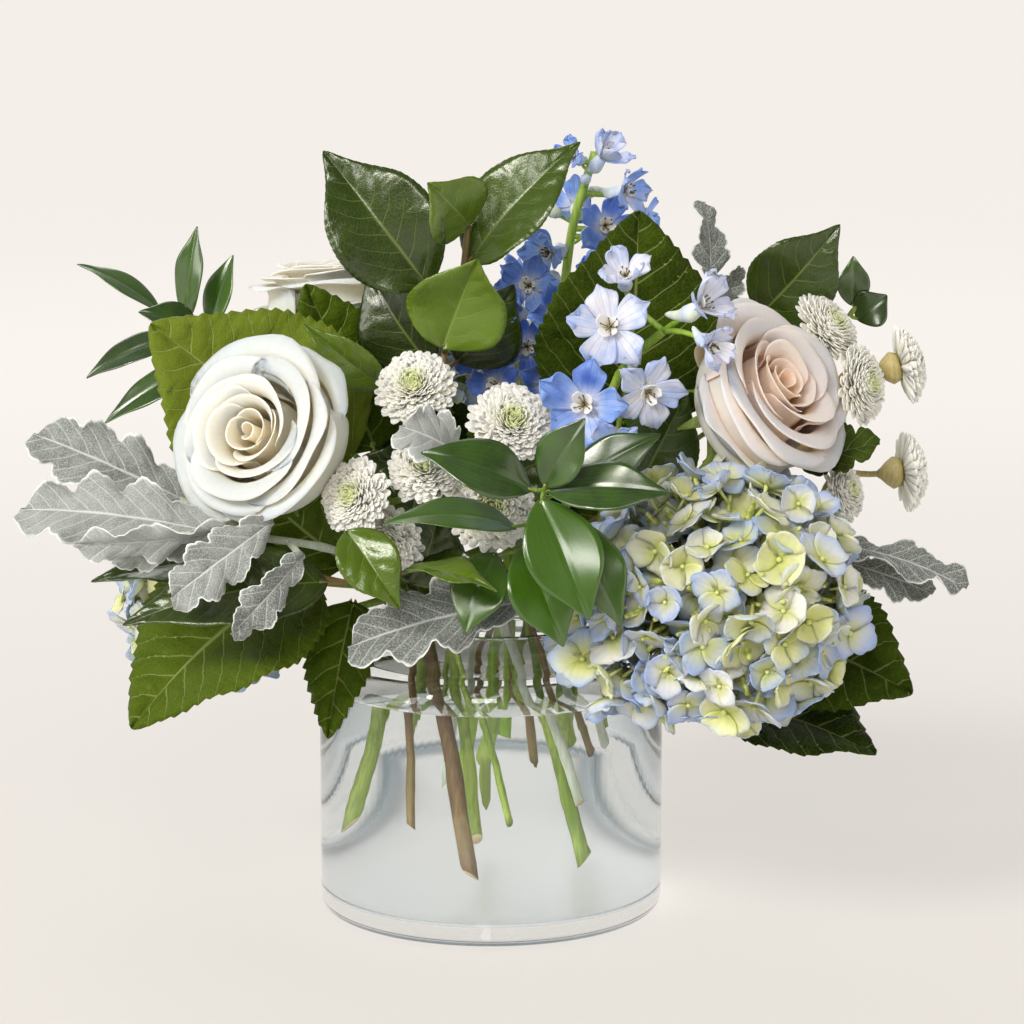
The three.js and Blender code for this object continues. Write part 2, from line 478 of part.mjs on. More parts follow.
// A head is one closed surface: each floret is a low centre and four wide sepals with notches between them,
// and the surface sinks to the core between the florets and behind the head.
const DOME_REACH = 1.72;
const FLORET_RIM = [
  { turn: 0, away: 0.62, rise: 0.9 },
  { turn: 28, away: 1.0, rise: 1.0 },
  { turn: 62, away: 1.0, rise: 1.0 },
];
function hydrangeaHead(name, grow = 0) {
  const { centre, facing, size, florets } = HYDRANGEAS[name];
  const spread = Math.sqrt((2 * DOME_REACH) / florets) * 0.86;
  const centres = domeDirections(florets, DOME_REACH);
  const points = [];
  const rises = [];
  const put = (direction, rise) => {
    points.push(direction.clone().normalize());
    rises.push(rise);
  };
  centres.forEach((direction, k) => {
    const sideways = new THREE.Vector3(0, 0, 1).cross(direction).normalize();
    const upwards = direction.clone().cross(sideways);
    const high = 0.025 * Math.sin(k * 5.3);
    put(direction, 0.94 + high);
    for (let petal = 0; petal < 4; petal++)
      for (const { turn, away, rise } of FLORET_RIM) {
        const angle = THREE.MathUtils.degToRad(turn + 90 * petal) + k * 1.9;
        const tilt = 0.035 * Math.sin(angle + k * 2.7);
        const out = direction.clone().addScaledVector(sideways, away * spread * Math.cos(angle));
        put(out.addScaledVector(upwards, away * spread * Math.sin(angle)), rise + high + tilt);
      }
  });
  const clearOfFlorets = (p) => centres.every((c) => c.angleTo(p) > 1.08 * spread);
  for (const p of domeDirections(florets * 9, 2)) if (clearOfFlorets(p)) put(p, 0.8);
  const hull = new ConvexGeometry(points);
  const corner = hull.attributes.position;
  const riseAt = (p) => rises[points.findIndex((q) => q.distanceToSquared(p) < 1e-8)];
  const rotation = turnTo(vec(facing));
  for (let k = 0; k < corner.count; k++) {
    const p = new THREE.Vector3().fromBufferAttribute(corner, k);
    const reach = vec(size).multiplyScalar(riseAt(p));
    p.applyQuaternion(rotation).multiply(reach).add(vec(centre));
    corner.setXYZ(k, p.x, p.y, p.z);
  }
  return solidFrom(hull, grow);
}

// ---- Chrysanthemums ----
// A head is one closed surface of rings: each layer's lip is notched into petals, and the next layer stands
// inside it. Rows from the back to the crown: radius at a petal's tip, radius at the notch, height, all as
// shares of the head's radius.
const MUM_LAYERS = [
  [0.5, 0.5, 0.0], [1.0, 0.84, 0.2], [0.76, 0.76, 0.34], [0.82, 0.62, 0.56], [0.5, 0.5, 0.62],
  [0.46, 0.3, 0.82],
];
function mumHead([, back, facing, radius], grow = 0) {
  const rotation = turnTo(vec(facing));
  const place = (x, y, z) => new THREE.Vector3(x, y, z + GAP).applyQuaternion(rotation).add(vec(back));
  const around = 2 * MUM_PETALS;
  const rings = MUM_LAYERS.map(([tip, notch, height], row) =>
    Array.from({ length: around }, (_, k) => {
      const outer = (k + (row >> 1)) % 2 === 0;
      const r = radius * (outer ? tip : notch);
      const angle = (2 * Math.PI * k) / around;
      const lift = outer && tip !== notch ? 0.05 * radius : 0;
      return place(r * Math.cos(angle), r * Math.sin(angle), radius * height + lift);
    }),
  );
  return ringSurface(place(0, 0, 0), rings, place(0, 0, 0.74 * radius), grow);
}

// A spray's green stem with a shoot and a small green cup behind each head.
function mumSpray(name, grow) {
  const extras = [];
  for (const [spray, back, facing, radius] of MUMS) {
    if (spray !== name) continue;
    const away = vec(facing).normalize();
    const cup = vec(back).addScaledVector(away, -7);
    extras.push(spike(vec(back), cup, 0.5 * radius + grow, 5));
    extras.push(shoot(name, cup.addScaledVector(away, 2), 1.5, grow));
  }
  return leafyStem(name, grow, extras);
}

// ---- Delphiniums ----
// A floret is five joined sepals over a short cone that ends behind it.
function floret(centre, outward, radius, turn, depth) {
  const points = [new THREE.Vector3(0, 0, -0.25 * radius), new THREE.Vector3(0, 0, -depth)];
  for (let k = 0; k < 10; k++) {
    const notch = k % 2 === 0;
    const angle = turn + (Math.PI * k) / 5;
    const reach = (notch ? 0.6 : 1) * radius;
    const sink = notch ? -0.12 * radius : 0;
    points.push(new THREE.Vector3(reach * Math.cos(angle), reach * Math.sin(angle), sink));
  }
  const faces = [];
  for (let k = 0; k < 10; k++) {
    const next = 2 + ((k + 1) % 10);
    faces.push(0, 2 + k, next, 1, next, 2 + k);
  }
  const geometry = new THREE.BufferGeometry();
  geometry.setAttribute("position", new THREE.Float32BufferAttribute(points.flatMap((p) => p.toArray()), 3));
  geometry.setIndex(faces);
  return solidFrom(geometry.applyQuaternion(turnTo(outward)).translate(...centre.toArray()));
}

function delphinium(name, grow) {
  const extras = [];
  DELPHINIUM_FLORETS.forEach(([spire, at, facing, radius], k) => {
    if (spire !== name) return;
    const away = vec(facing).normalize();
    const middle = vec(at);
    const behind = middle.clone().addScaledVector(away, -0.5 * radius);
    extras.push(floret(middle, away, radius + grow, k * 1.1, 0.75 * radius));
    const spur = behind.clone().addScaledVector(away, -0.8 * radius).add(vec([0, 0, 0.35 * radius]));
    if (radius > 16 || facing[0] > 0.7) extras.push(spike(behind, spur, 2.4 + grow));
    extras.push(shoot(name, behind, 1.1, grow));
  });
  return leafyStem(name, grow, extras);
}

// ---- Vase and water ----
function turned(profile, segments) {
  const points = profile.map(([r, z]) => new THREE.Vector2(r, z));
  return solidFrom(new THREE.LatheGeometry(points, segments).rotateX(Math.PI / 2));
}

const VASE_SEGMENTS = 24;
function vase(grow) {
  const inner = VASE_RADIUS - VASE_WALL - grow;
  const neck = NECK_INNER_RADIUS - grow;
  return turned(
    [
      [0, 0], [68, 0], [73, 2.5], [VASE_RADIUS + grow, 8], [VASE_RADIUS + grow, SHOULDER_Z],
      [72.5 + grow, 108.5 + grow], [65 + grow, 114.5 + grow], [54 + grow, 120 + grow], [49 + grow, NECK_Z],
      [50 + grow, LIP_Z - 2], [48, LIP_Z + grow], [neck, LIP_Z - 3], [neck, NECK_Z - 2],
      [neck + 6, 117 - grow], [62 - grow, 111.5 - grow], [inner, SHOULDER_Z - 1],
      [inner, VASE_FLOOR + 6], [inner - 8, VASE_FLOOR], [0, VASE_FLOOR],
    ],
    VASE_SEGMENTS,
  );
}

function water() {
  const inner = VASE_RADIUS - VASE_WALL - GAP;
  const floor = VASE_FLOOR + GAP;
  const body = turned(
    [[0, floor], [inner - 8, floor], [inner, floor + 6], [inner, WATER_Z], [0, WATER_Z]],
    VASE_SEGMENTS,
  );
  const holes = Object.keys(STEMS).map((name) => stem(name, GAP));
  return body.subtract(joined(holes));
}

// ---- Assembly ----
const finishes = {
  glass: { color: "#e8f1f2", roughness: 0.03 },
  water: { color: "#dcebef", roughness: 0.02 },
  ivory_petal: { color: "#f4ecdd", roughness: 0.6 },
  blush_petal: { color: "#f2ded0", roughness: 0.6 },
  hydrangea_sepal: { color: "#c6cfe2", roughness: 0.6 },
  delphinium_sepal: { color: "#8fa6dc", roughness: 0.6 },
  mum_petal: { color: "#f1f0dc", roughness: 0.65 },
  stem_green: { color: "#7d9440", roughness: 0.55 },
  hydrangea_leaf: { color: "#3f5a1e", roughness: 0.6 },
  salal_leaf: { color: "#39591c", roughness: 0.4 },
  ruscus_leaf: { color: "#2f661c", roughness: 0.3 },
  dusty_leaf: { color: "#a9b2b2", roughness: 0.95 },
};

// Each piece as a function of how much it is grown; the grown copy clears room for it in the pieces after it.
const foliage = (kind, places) =>
  places.map((place) => `${kind}_${place}`).map((name) => [name, `${kind}_leaf`, (g) => leafyStem(name, g)]);

const pieces = [
  ["vase", "glass", vase],
  ["hydrangea_right_head", "hydrangea_sepal", (g) => hydrangeaHead("hydrangea_right", g)],
  ["hydrangea_left_head", "hydrangea_sepal", (g) => hydrangeaHead("hydrangea_left", g)],
  ["hydrangea_back_head", "hydrangea_sepal", (g) => hydrangeaHead("hydrangea_back", g)],
  ["rose_left_bloom", "ivory_petal", (g) => roseBloom("rose_left", g)],
  ["rose_right_bloom", "blush_petal", (g) => roseBloom("rose_right", g)],
  ["rose_back_bloom", "ivory_petal", (g) => roseBloom("rose_back", g)],
  ...MUMS.map((row, k) => ["mum_head_" + (k + 1), "mum_petal", (g) => mumHead(row, g)]),
  ["rose_left_stem", "stem_green", (g) => leafyStem("rose_left", g, roseCalyx("rose_left", g))],
  ["rose_right_stem", "stem_green", (g) => leafyStem("rose_right", g, roseCalyx("rose_right", g))],
  ["rose_back_stem", "stem_green", (g) => leafyStem("rose_back", g, roseCalyx("rose_back", g))],
  ["delphinium_front", "delphinium_sepal", (g) => delphinium("delphinium_front", g)],
  ["delphinium_tall", "delphinium_sepal", (g) => delphinium("delphinium_tall", g)],
  ["mum_left_stem", "stem_green", (g) => mumSpray("mum_left", g)],
  ["mum_right_stem", "stem_green", (g) => mumSpray("mum_right", g)],
  ["hydrangea_right_stem", "hydrangea_leaf", (g) => leafyStem("hydrangea_right", g)],
  ["hydrangea_left_stem", "hydrangea_leaf", (g) => leafyStem("hydrangea_left", g)],
  ["hydrangea_back_stem", "hydrangea_leaf", (g) => leafyStem("hydrangea_back", g)],
  ...foliage("salal", ["top", "right", "left", "back"]),
  ...foliage("ruscus", ["centre", "left", "right", "back"]),
  ...foliage("dusty", ["left", "front", "right", "top"]),
];

function meshOf(name, finish, solid) {
  const mesh = new THREE.Mesh(geometryFrom(solid), new THREE.MeshStandardMaterial(finishes[finish]));
  mesh.name = name;
  return mesh;
}

function largestBody(solid) {
  const bodies = solid.decompose();
  return bodies.reduce((best, body) => (body.volume() > best.volume() ? body : best));
}

const bouquet = new THREE.Group();
const cleared = [];
for (const [name, finish, make] of pieces) {
  const whole = make(0);
  const trimmed = cleared.length ? whole.subtract(joined(cleared)) : whole;
  bouquet.add(meshOf(name, finish, largestBody(trimmed)));
  cleared.push(make(GAP));
}
bouquet.add(meshOf("water", "water", largestBody(water())));

export default bouquet;
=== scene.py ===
"""A mixed bouquet in a squat clear glass vase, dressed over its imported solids: hydrangeas, roses, delphinium,
button chrysanthemums, salal, ruscus and dusty miller. The tables are in millimetres, and MM turns them to
metres. +Z is up, and the camera looks at the front from -Y."""
import json
import math
import random

import bpy
import numpy as np
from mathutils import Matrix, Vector

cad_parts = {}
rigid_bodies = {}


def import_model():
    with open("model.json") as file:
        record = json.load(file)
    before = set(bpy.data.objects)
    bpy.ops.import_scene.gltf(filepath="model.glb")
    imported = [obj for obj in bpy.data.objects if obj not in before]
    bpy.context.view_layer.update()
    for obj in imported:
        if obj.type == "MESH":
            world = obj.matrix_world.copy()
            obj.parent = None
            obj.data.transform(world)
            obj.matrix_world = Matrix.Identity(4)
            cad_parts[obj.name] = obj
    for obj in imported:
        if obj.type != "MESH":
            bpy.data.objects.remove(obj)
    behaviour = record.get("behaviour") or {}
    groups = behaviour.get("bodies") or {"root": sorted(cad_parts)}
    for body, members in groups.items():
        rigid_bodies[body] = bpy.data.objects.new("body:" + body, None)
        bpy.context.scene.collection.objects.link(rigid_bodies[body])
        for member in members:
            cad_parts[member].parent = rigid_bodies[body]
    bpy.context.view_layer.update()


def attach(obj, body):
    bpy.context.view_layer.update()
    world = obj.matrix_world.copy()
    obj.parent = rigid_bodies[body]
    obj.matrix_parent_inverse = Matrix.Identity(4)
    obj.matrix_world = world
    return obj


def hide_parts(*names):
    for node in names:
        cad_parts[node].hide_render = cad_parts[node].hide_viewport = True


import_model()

MM = 0.001
TURN = 2 * math.pi
GOLDEN_ANGLE = math.pi * (3 - math.sqrt(5))
UP = np.array([0.0, 0.0, 1.0])

# ---- The arrangement, in millimetres, as in the part's source ----
NECK_Z = 128
COLLAR_Z = 143
# Stems pass the neck on three nested rings: "waist" is the radius there, "spread" how far the foot leans out.
RINGS = {
    "outer": { "waist": 35, "spread": 44 },
    "middle": { "waist": 22, "spread": 34 },
    "inner": { "waist": 9, "spread": 20 },
}

# Each stem: its ring, the direction that it leans to in degrees from +X, the height of its foot, its radius,
# and the points that it passes above the neck.
STEMS = {
    "rose_left": ["middle", 196, 22, 3.4, [[-58, -42, 178], [-74, -50, 199]]],
    "rose_right": ["middle", 311, 16, 3.4, [[66, -26, 172], [94, -38, 204]]],
    "rose_back": ["middle", 122, 34, 3.2, [[-36, 16, 185], [-63, 24, 238]]],
    "hydrangea_right": ["outer", 285, 18, 4.2, [[50, -44, 152], [66, -57, 154]]],
    "hydrangea_left": ["outer", 126, 26, 4.2, [[-62, 20, 148], [-92, 25, 140]]],
    "hydrangea_back": ["outer", 44, 30, 4.2, [[4, 50, 155], [4, 72, 182]]],
    "delphinium_tall": ["inner", 334, 24, 3.2, [[14, 4, 190], [30, 14, 260], [36, 15, 300], [45, 14, 330]]],
    "delphinium_front": ["inner", 286, 40, 3.0, [[36, -30, 190], [56, -50, 245], [72, -62, 262]]],
    "mum_left": ["middle", 227, 48, 2.4, [[-28, -52, 168], [-30, -66, 200]]],
    "mum_right": ["middle", 338, 44, 2.4, [[82, -12, 176], [120, -18, 206], [138, -20, 228]]],
    "dusty_left": ["outer", 191, 46, 2.6, [[-44, -48, 160], [-70, -78, 174], [-96, -88, 180]]],
    "dusty_front": ["outer", 231, 52, 2.4, [[4, -50, 158], [0, -66, 176]]],
    "dusty_right": ["outer", 326, 42, 2.4, [[70, -4, 152], [120, -24, 158], [140, -31, 160]]],
    "dusty_top": ["inner", 42, 36, 2.2, [[48, 26, 190], [84, 26, 248]]],
    "salal_top": ["inner", 230, 36, 2.2, [[-8, -22, 190], [-20, -42, 240], [-12, -30, 280], [-9, -28, 306]]],
    "salal_right": ["middle", 357, 56, 2.0, [[60, 3, 182], [100, 6, 240]]],
    "salal_left": ["outer", 211, 56, 2.0, [[-34, -66, 152], [-58, -84, 160]]],
    "salal_back": ["outer", 98, 40, 2.2, [[-44, 66, 184], [-64, 90, 212]]],
    "ruscus_centre": ["outer", 248, 50, 1.8, [[13, -66, 164], [22, -104, 187], [22, -126, 206]]],
    "ruscus_left": ["outer", 150, 44, 1.8,
                    [[-38, -2, 176], [-62, 14, 200], [-118, 15, 242], [-138, 16, 260]]],
    "ruscus_right": ["middle", 25, 52, 1.8, [[44, 33, 170], [104, 29, 212], [140, 26, 238], [160, 25, 262]]],
    "ruscus_back": ["middle", 42, 48, 1.8, [[48, 58, 184], [74, 80, 232]]],
}


def flat(runs):
    """One row for each piece, which starts with the name of the stem that its run is under."""
    return [(name, *row) for name, *rows in runs for row in rows]


# Leaves by their stem: where the blade starts, its tip, its width, the way its upper face looks, and how far
# its middle bows out that way. The last ten are dark leaves inside the bouquet.
LEAVES = flat([
    ("hydrangea_left",
     ((-64, -27, 196), (-143, -38, 262), 88, (-0.2, -1, 0.5), 7),
     ((-50, -12, 205), (-79, -14, 276), 54, (0.3, -1, 0.2), 4),
     ((-78, -46, 156), (-149, -84, 98), 78, (-0.5, -0.8, 0.5), 9),
     ((-58, -46, 144), (-68, -68, 90), 28, (-0.3, -1, 0.2), 3),
     ((-88, 88, 146), (-150, 132, 128), 66, (-0.4, 0.4, 1), 8)),
    ("hydrangea_right",
     ((55, -16, 216), (63, -10, 307), 84, (0.3, -1, 0.25), 6),
     ((116, -29, 129), (178, -62, 108), 60, (-0.1, -0.9, 0.7), 6),
     ((88, -40, 101), (162, -72, 84), 68, (0.1, -0.35, 1), 5)),
    ("hydrangea_back",
     ((20, 88, 158), (78, 140, 140), 74, (0.3, 0.5, 1), 9),
     ((-18, 88, 156), (-62, 140, 134), 70, (-0.2, 0.5, 1), 9)),
    ("salal_top",
     ((-26, -40, 278), (-70, -30, 334), 46, (0.1, -1, 0.1), 5),
     ((-9, -26, 287), (38, -22, 337), 36, (-0.6, -1, 0.3), 5),
     ((-9, -31, 303), (-26, -46, 322), 32, (-0.2, -1, 0.5), 3),
     ((-20, -48, 253), (-5, -64, 292), 42, (0.1, -1, 0.1), -4),
     ((-25, -30, 243), (-52, -14, 283), 38, (-0.6, -1, 0.1), 4),
     ((-14, -24, 244), (10, -14, 276), 34, (0.5, -1, 0.1), 4),
     ((-45, -51, 237), (-77, -62, 265), 17, (-0.6, -0.7, 0.5), 4)),
    ("salal_right",
     ((117, 13, 260), (150, 2, 300), 38, (0.3, -1, 0.3), 5),
     ((100, 18, 226), (96, 60, 258), 34, (-0.2, 0.6, 0.8), 5)),
    ("salal_left",
     ((-67, -88, 161), (-150, -103, 146), 36, (0.1, -0.8, 0.75), 8),
     ((-84, -62, 164), (-166, -72, 158), 30, (-0.1, -0.6, 0.8), 6),
     ((-58, -108, 186), (-36, -120, 156), 24, (0.1, -1, 0.35), 4),
     ((-34, -110, 170), (3, -124, 164), 18, (0.2, -0.35, 1), 4)),
    ("salal_back",
     ((-66, 92, 218), (-98, 116, 262), 44, (-0.3, 0.9, 0.5), 6),
     ((-62, 88, 227), (-50, 98, 284), 40, (0.1, 1, 0.4), 6),
     ((-68, 86, 206), (-124, 92, 214), 40, (-0.3, 0.5, 1), 6),
     ((-64, 98, 208), (-66, 146, 232), 38, (0.2, 0.6, 1), 6)),
    ("ruscus_centre",
     ((17, -128, 206), (-27, -132, 222), 25, (-0.1, -0.8, 0.7), 5),
     ((22, -130, 208), (38, -140, 237), 20, (-0.3, -1, 0.2), 3),
     ((23, -128, 206), (72, -140, 207), 22, (0.1, -0.8, 0.6), 4),
     ((30, -118, 205), (69, -116, 227), 19, (0.2, -0.8, 0.6), 3),
     ((20, -130, 203), (40, -146, 157), 31, (0.13, -0.97, 0.33), 3),
     ((31, -122, 194), (53, -134, 152), 24, (0.4, -1, 0.2), 3),
     ((13, -108, 180), (30, -122, 141), 27, (0.1, -1, 0.4), 4),
     ((11, -118, 189), (-42, -131, 193), 20, (0, -0.5, 0.9), 6),
     ((2, -96, 175), (-10, -110, 144), 24, (-0.2, -1, 0.4), 3)),
    ("ruscus_left",
     ((-144, 17, 261), (-180, 20, 281), 13, (0.2, -0.5, 1), 3),
     ((-132, 15, 257), (-127, 14, 298), 14, (-0.6, -1, 0.1), 2),
     ((-122, 17, 252), (-112, 20, 285), 15, (-0.8, -1, 0.1), 2),
     ((-126, 10, 252), (-152, 4, 262), 17, (0, -0.8, 0.7), 3),
     ((-136, 12, 250), (-176, 12, 232), 15, (0.1, -0.7, 0.9), 4),
     ((-122, 8, 240), (-167, 0, 214), 15, (0.1, -0.7, 0.8), 4),
     ((-104, 22, 228), (-140, 50, 238), 18, (-0.2, 0.4, 1), 4)),
    ("ruscus_right",
     ((158, 26, 262), (158, 24, 284), 14, (0.1, -1, 0.1), 2),
     ((160, 25, 256), (173, 24, 267), 17, (0.3, -1, 0.4), 2),
     ((138, 31, 244), (132, 66, 266), 18, (-0.1, 0.4, 1), 4),
     ((140, 30, 236), (172, 56, 232), 19, (0.3, 0.2, 1), 4)),
    ("ruscus_back",
     ((73, 85, 234), (64, 96, 276), 20, (-0.2, 1, 0.3), 3),
     ((75, 86, 228), (110, 112, 256), 21, (0.3, 0.7, 0.7), 4),
     ((72, 84, 222), (104, 124, 218), 21, (0.2, 0.4, 1), 4),
     ((66, 78, 214), (56, 122, 226), 21, (-0.2, 0.5, 1), 4)),
    ("dusty_left",
     ((-127, -60, 190), (-190, -62, 219), 34, (0, -1, 0.5), 4),
     ((-112, -95, 183), (-193, -85, 191), 36, (0, -0.9, 0.7), 5),
     ((-106, -104, 186), (-168, -111, 182), 20, (0, -0.8, -0.6), 3),
     ((-107, -83, 179), (-155, -90, 171), 20, (0, -0.9, 0.6), 3),
     ((-88, -102, 189), (-129, -118, 160), 26, (0.3, -0.9, 0.4), 4),
     ((-75, -110, 177), (-104, -126, 147), 18, (0.6, -0.8, 0.3), 2)),
    ("dusty_front",
     ((16, -84, 152), (-58, -104, 137), 38, (0, -0.8, 0.7), 5),
     ((-14, -98, 216), (-36, -114, 230), 28, (-0.1, -1, 0.5), 5)),
    ("dusty_right",
     ((146, -39, 168), (203, -36, 148), 21, (0.1, -0.6, 0.9), 4),
     ((148, -22, 158), (190, -23, 143), 20, (0.2, -0.9, 0.4), 4)),
    ("dusty_top",
     ((95, 26, 266), (93, 32, 307), 17, (0.6, -0.9, 0), 3),
     ((98, 24, 262), (108, 14, 281), 12, (0.4, -0.9, 0.3), 2)),
    ("mum_right",
     ((132, -38, 201), (164, -46, 212), 24, (0.1, -0.8, 0.7), 3)),
    ("hydrangea_back",
     ((-4, 40, 165), (-50, 4, 226), 62, (0.1, -1, 0.1), 5),
     ((8, 40, 165), (62, 6, 224), 60, (-0.1, -1, 0.1), 5),
     ((4, 36, 160), (10, -8, 228), 56, (0, -1, 0.3), 5)),
    ("hydrangea_left",
     ((-60, 10, 150), (-28, -26, 204), 52, (0, -1, 0.1), 4),
     ((-64, 12, 150), (-112, -6, 196), 54, (-0.2, -1, 0.1), 4)),
    ("salal_top",
     ((-10, -26, 192), (-54, -40, 206), 34, (0, -1, 0.2), 3),
     ((-8, -24, 188), (36, -40, 210), 34, (0, -1, 0.2), 3)),
    ("salal_right",
     ((64, 0, 186), (84, -22, 232), 36, (0, -1, 0.1), 3)),
    ("salal_left",
     ((-34, -66, 156), (14, -84, 150), 34, (0, -1, 0.2), 4),
     ((-30, -60, 154), (-20, -70, 190), 34, (0, -1, 0.2), 4)),
])

# Roses: where the bloom starts, the way it faces, its radius and its turn about that axis in degrees.
ROSES = {
    "rose_left": { "base": [-82, -62, 210], "facing": [-0.5, -0.8, 0.42], "radius": 36, "turn": 20 },
    "rose_right": { "base": [101, -39, 222], "facing": [0.64, -0.56, 0.53], "radius": 36, "turn": 75 },
    "rose_back": { "base": [-66, 25, 246], "facing": [-0.1, 0.1, 1], "radius": 33, "turn": 130 },
}

# Hydrangea heads: centre, the way the dome faces and its half-sizes.
HYDRANGEAS = {
    "hydrangea_right": { "centre": [96, -84, 155], "facing": [0.45, -0.8, 0.25], "size": [59, 50, 54] },
    "hydrangea_left": { "centre": [-122, 34, 134], "facing": [-0.9, 0.2, 0.3], "size": [44, 42, 42] },
    "hydrangea_back": { "centre": [4, 92, 206], "facing": [0, 0.8, 0.5], "size": [50, 42, 46] },
}

# Button chrysanthemums by their spray: middle of the head's back, the way it faces, its radius.
MUMS = flat([
    ("mum_left",
     ((-30, -66, 236), (-0.15, -0.75, 0.6), 17), ((-52, -94, 197), (-0.5, -0.8, 0.3), 16),
     ((-25, -88, 206), (-0.1, -0.8, 0.6), 16), ((0, -90, 193), (0.1, -0.95, 0.2), 18),
     ((8, -72, 222), (0.15, -0.8, 0.55), 18), ((-40, -78, 178), (-0.3, -0.9, -0.1), 15)),
    ("mum_right",
     ((140, -14, 254), (0.6, -0.4, 0.6), 17), ((152, -28, 234), (0.8, -0.5, 0.2), 17),
     ((172, -14, 240), (0.95, 0.1, 0.2), 17), ((174, -10, 194), (0.95, 0.15, 0.05), 17),
     ((146, -40, 190), (0.75, -0.5, 0.3), 13), ((130, 30, 206), (0.5, 0.8, 0.3), 16)),
])

# Delphinium florets by their spire: middle, the way each faces, radius, and how blue it is, from 0 to 1.
# That is partly each floret's own blue; near 1, on the low florets of the tall spire, it is painted shade.
DELPHINIUM_FLORETS = flat([
    ("delphinium_tall",
     ((50, 8, 331), (0.5, -0.4, 0.7), 14, 0.2), ((34, 6, 330), (-0.6, -0.7, 0.4), 11, 0.45),
     ((61, 10, 314), (0.8, -0.5, 0.2), 14, 0.3), ((50, 0, 300), (0.2, -0.9, 0.2), 15, 0.7),
     ((70, 20, 298), (0.9, 0.2, 0.3), 14, 0.5), ((36, 34, 306), (-0.2, 0.9, 0.3), 15, 0.6),
     ((23, 1, 288), (-0.6, -0.8, 0.1), 15, 0.55), ((48, 36, 276), (0.4, 0.8, 0.2), 16, 0.8),
     ((10, 18, 276), (-0.9, 0.2, 0.2), 16, 0.8), ((6, -8, 262), (-0.6, -0.8, 0.1), 16, 0.9),
     ((30, -14, 262), (0.3, -1, 0.1), 16, 0.9), ((1, -20, 233), (-0.4, -0.9, 0.1), 15, 1.0),
     ((24, -26, 234), (0.3, -1, 0), 15, 1.0), ((16, -6, 248), (0.1, -1, 0.1), 15, 1.0),
     ((-8, -4, 246), (-0.6, -0.8, 0.1), 15, 1.05), ((16, -8, 275), (-0.1, -1, 0.2), 15, 0.8),
     ((36, -8, 246), (0.5, -0.8, 0), 14, 0.95)),
    ("delphinium_front",
     ((49, -76, 266), (-0.1, -0.95, 0.25), 21, 0.2), ((56, -66, 287), (0, -0.8, 0.7), 14, 0.1),
     ((38, -87, 235), (-0.2, -0.95, 0.2), 21, 0.6), ((66, -82, 238), (0.3, -0.9, -0.2), 18, 0.15),
     ((90, -76, 276), (0.7, -0.5, 0.5), 17, 0.0), ((92, -86, 258), (0.6, -0.8, -0.3), 13, 0.0),
     ((50, -92, 216), (0, -0.9, -0.3), 15, 0.35)),
])


# ---- Camera, floor and light ----
CAMERA_AT = (9.2, -1600.0, 454.5)
CAMERA_AIM = (9.2, 0.0, 175.0)
LENS = 131.4
SENSOR = 36.0
BOUQUET_MIDDLE = (0, 0, 190)
KEY_AT = (-900, -1150, 1250)
KEY_STRENGTH = 2.1
KEY_WIDTH = 18  # degrees
FLOOR_REACH = 12000


def stand(name, data):
    """A new object in the scene."""
    made = bpy.data.objects.new(name, data)
    bpy.context.scene.collection.objects.link(made)
    return made


def aimed(thing, at, aim):
    """Puts a camera or lamp at a place in millimetres and points it at another."""
    place = Vector(at) * MM
    thing.location = place
    thing.rotation_euler = (Vector(aim) * MM - place).to_track_quat("-Z", "Y").to_euler()
    return thing


def camera():
    lens = bpy.data.cameras.new("camera")
    lens.lens = LENS
    lens.sensor_width = SENSOR
    bpy.context.scene.camera = aimed(stand("camera", lens), CAMERA_AT, CAMERA_AIM)


def soft_box(name, at, size, watts, colour):
    """A square studio lamp that looks at the bouquet, and isn't seen through the glass."""
    light = bpy.data.lights.new(name, "AREA")
    light.size = size * MM
    light.energy = watts
    light.color = linear(colour)[:3]
    lamp = aimed(stand(name, light), at, BOUQUET_MIDDLE)
    lamp.visible_transmission = False
    lamp.visible_camera = False


def studio():
    sun = bpy.data.lights.new("key", "SUN")
    sun.energy = KEY_STRENGTH
    sun.angle = math.radians(KEY_WIDTH)
    sun.color = linear("#fffaf3")[:3]
    key = aimed(stand("key", sun), KEY_AT, BOUQUET_MIDDLE)
    key.visible_transmission = False
    soft_box("front", (-150, -1900, 1250), 600, 13, "#fffdf9")
    soft_box("left", (-1750, -900, 800), 900, 14, "#fffdf9")
    soft_box("fill", (1700, -1000, 500), 1400, 6, "#fff6ec")
    soft_box("back", (-500, 1500, 1700), 1200, 12, "#ffffff")
    world = bpy.data.worlds.new("studio")
    world.use_nodes = True
    bpy.context.scene.world = world
    room_light(world.node_tree)
    bpy.context.scene.view_settings.view_transform = "Standard"
    floor = bpy.data.meshes.new("floor")
    reach = FLOOR_REACH * MM
    floor.from_pydata([(-reach, -reach, 0), (reach, -reach, 0), (reach, reach, 0), (-reach, reach, 0)],
                      [], [(0, 1, 2, 3)])
    floor.materials.append(studio_paper())
    stand("floor", floor)


# ---- Shading ----
MATH = "ShaderNodeMath"
MIX = "ShaderNodeMix"
RANGE = "ShaderNodeMapRange"
VECTOR = "ShaderNodeVectorMath"
SPLIT = "ShaderNodeSeparateXYZ"
BUMP = "ShaderNodeBump"
NOISE = "ShaderNodeTexNoise"
# Kinds of node with the setting that they usually have.
EASED = (RANGE, {"interpolation_type": "SMOOTHSTEP"})
BLEND = (MIX, {"data_type": "RGBA"})
PLUS, MINUS, TIMES, OVER, MOST, TIMES_PLUS, POWER, FOLD = [(MATH, {"operation": name}) for name in (
    "ADD", "SUBTRACT", "MULTIPLY", "DIVIDE", "MAXIMUM", "MULTIPLY_ADD", "POWER", "PINGPONG")]


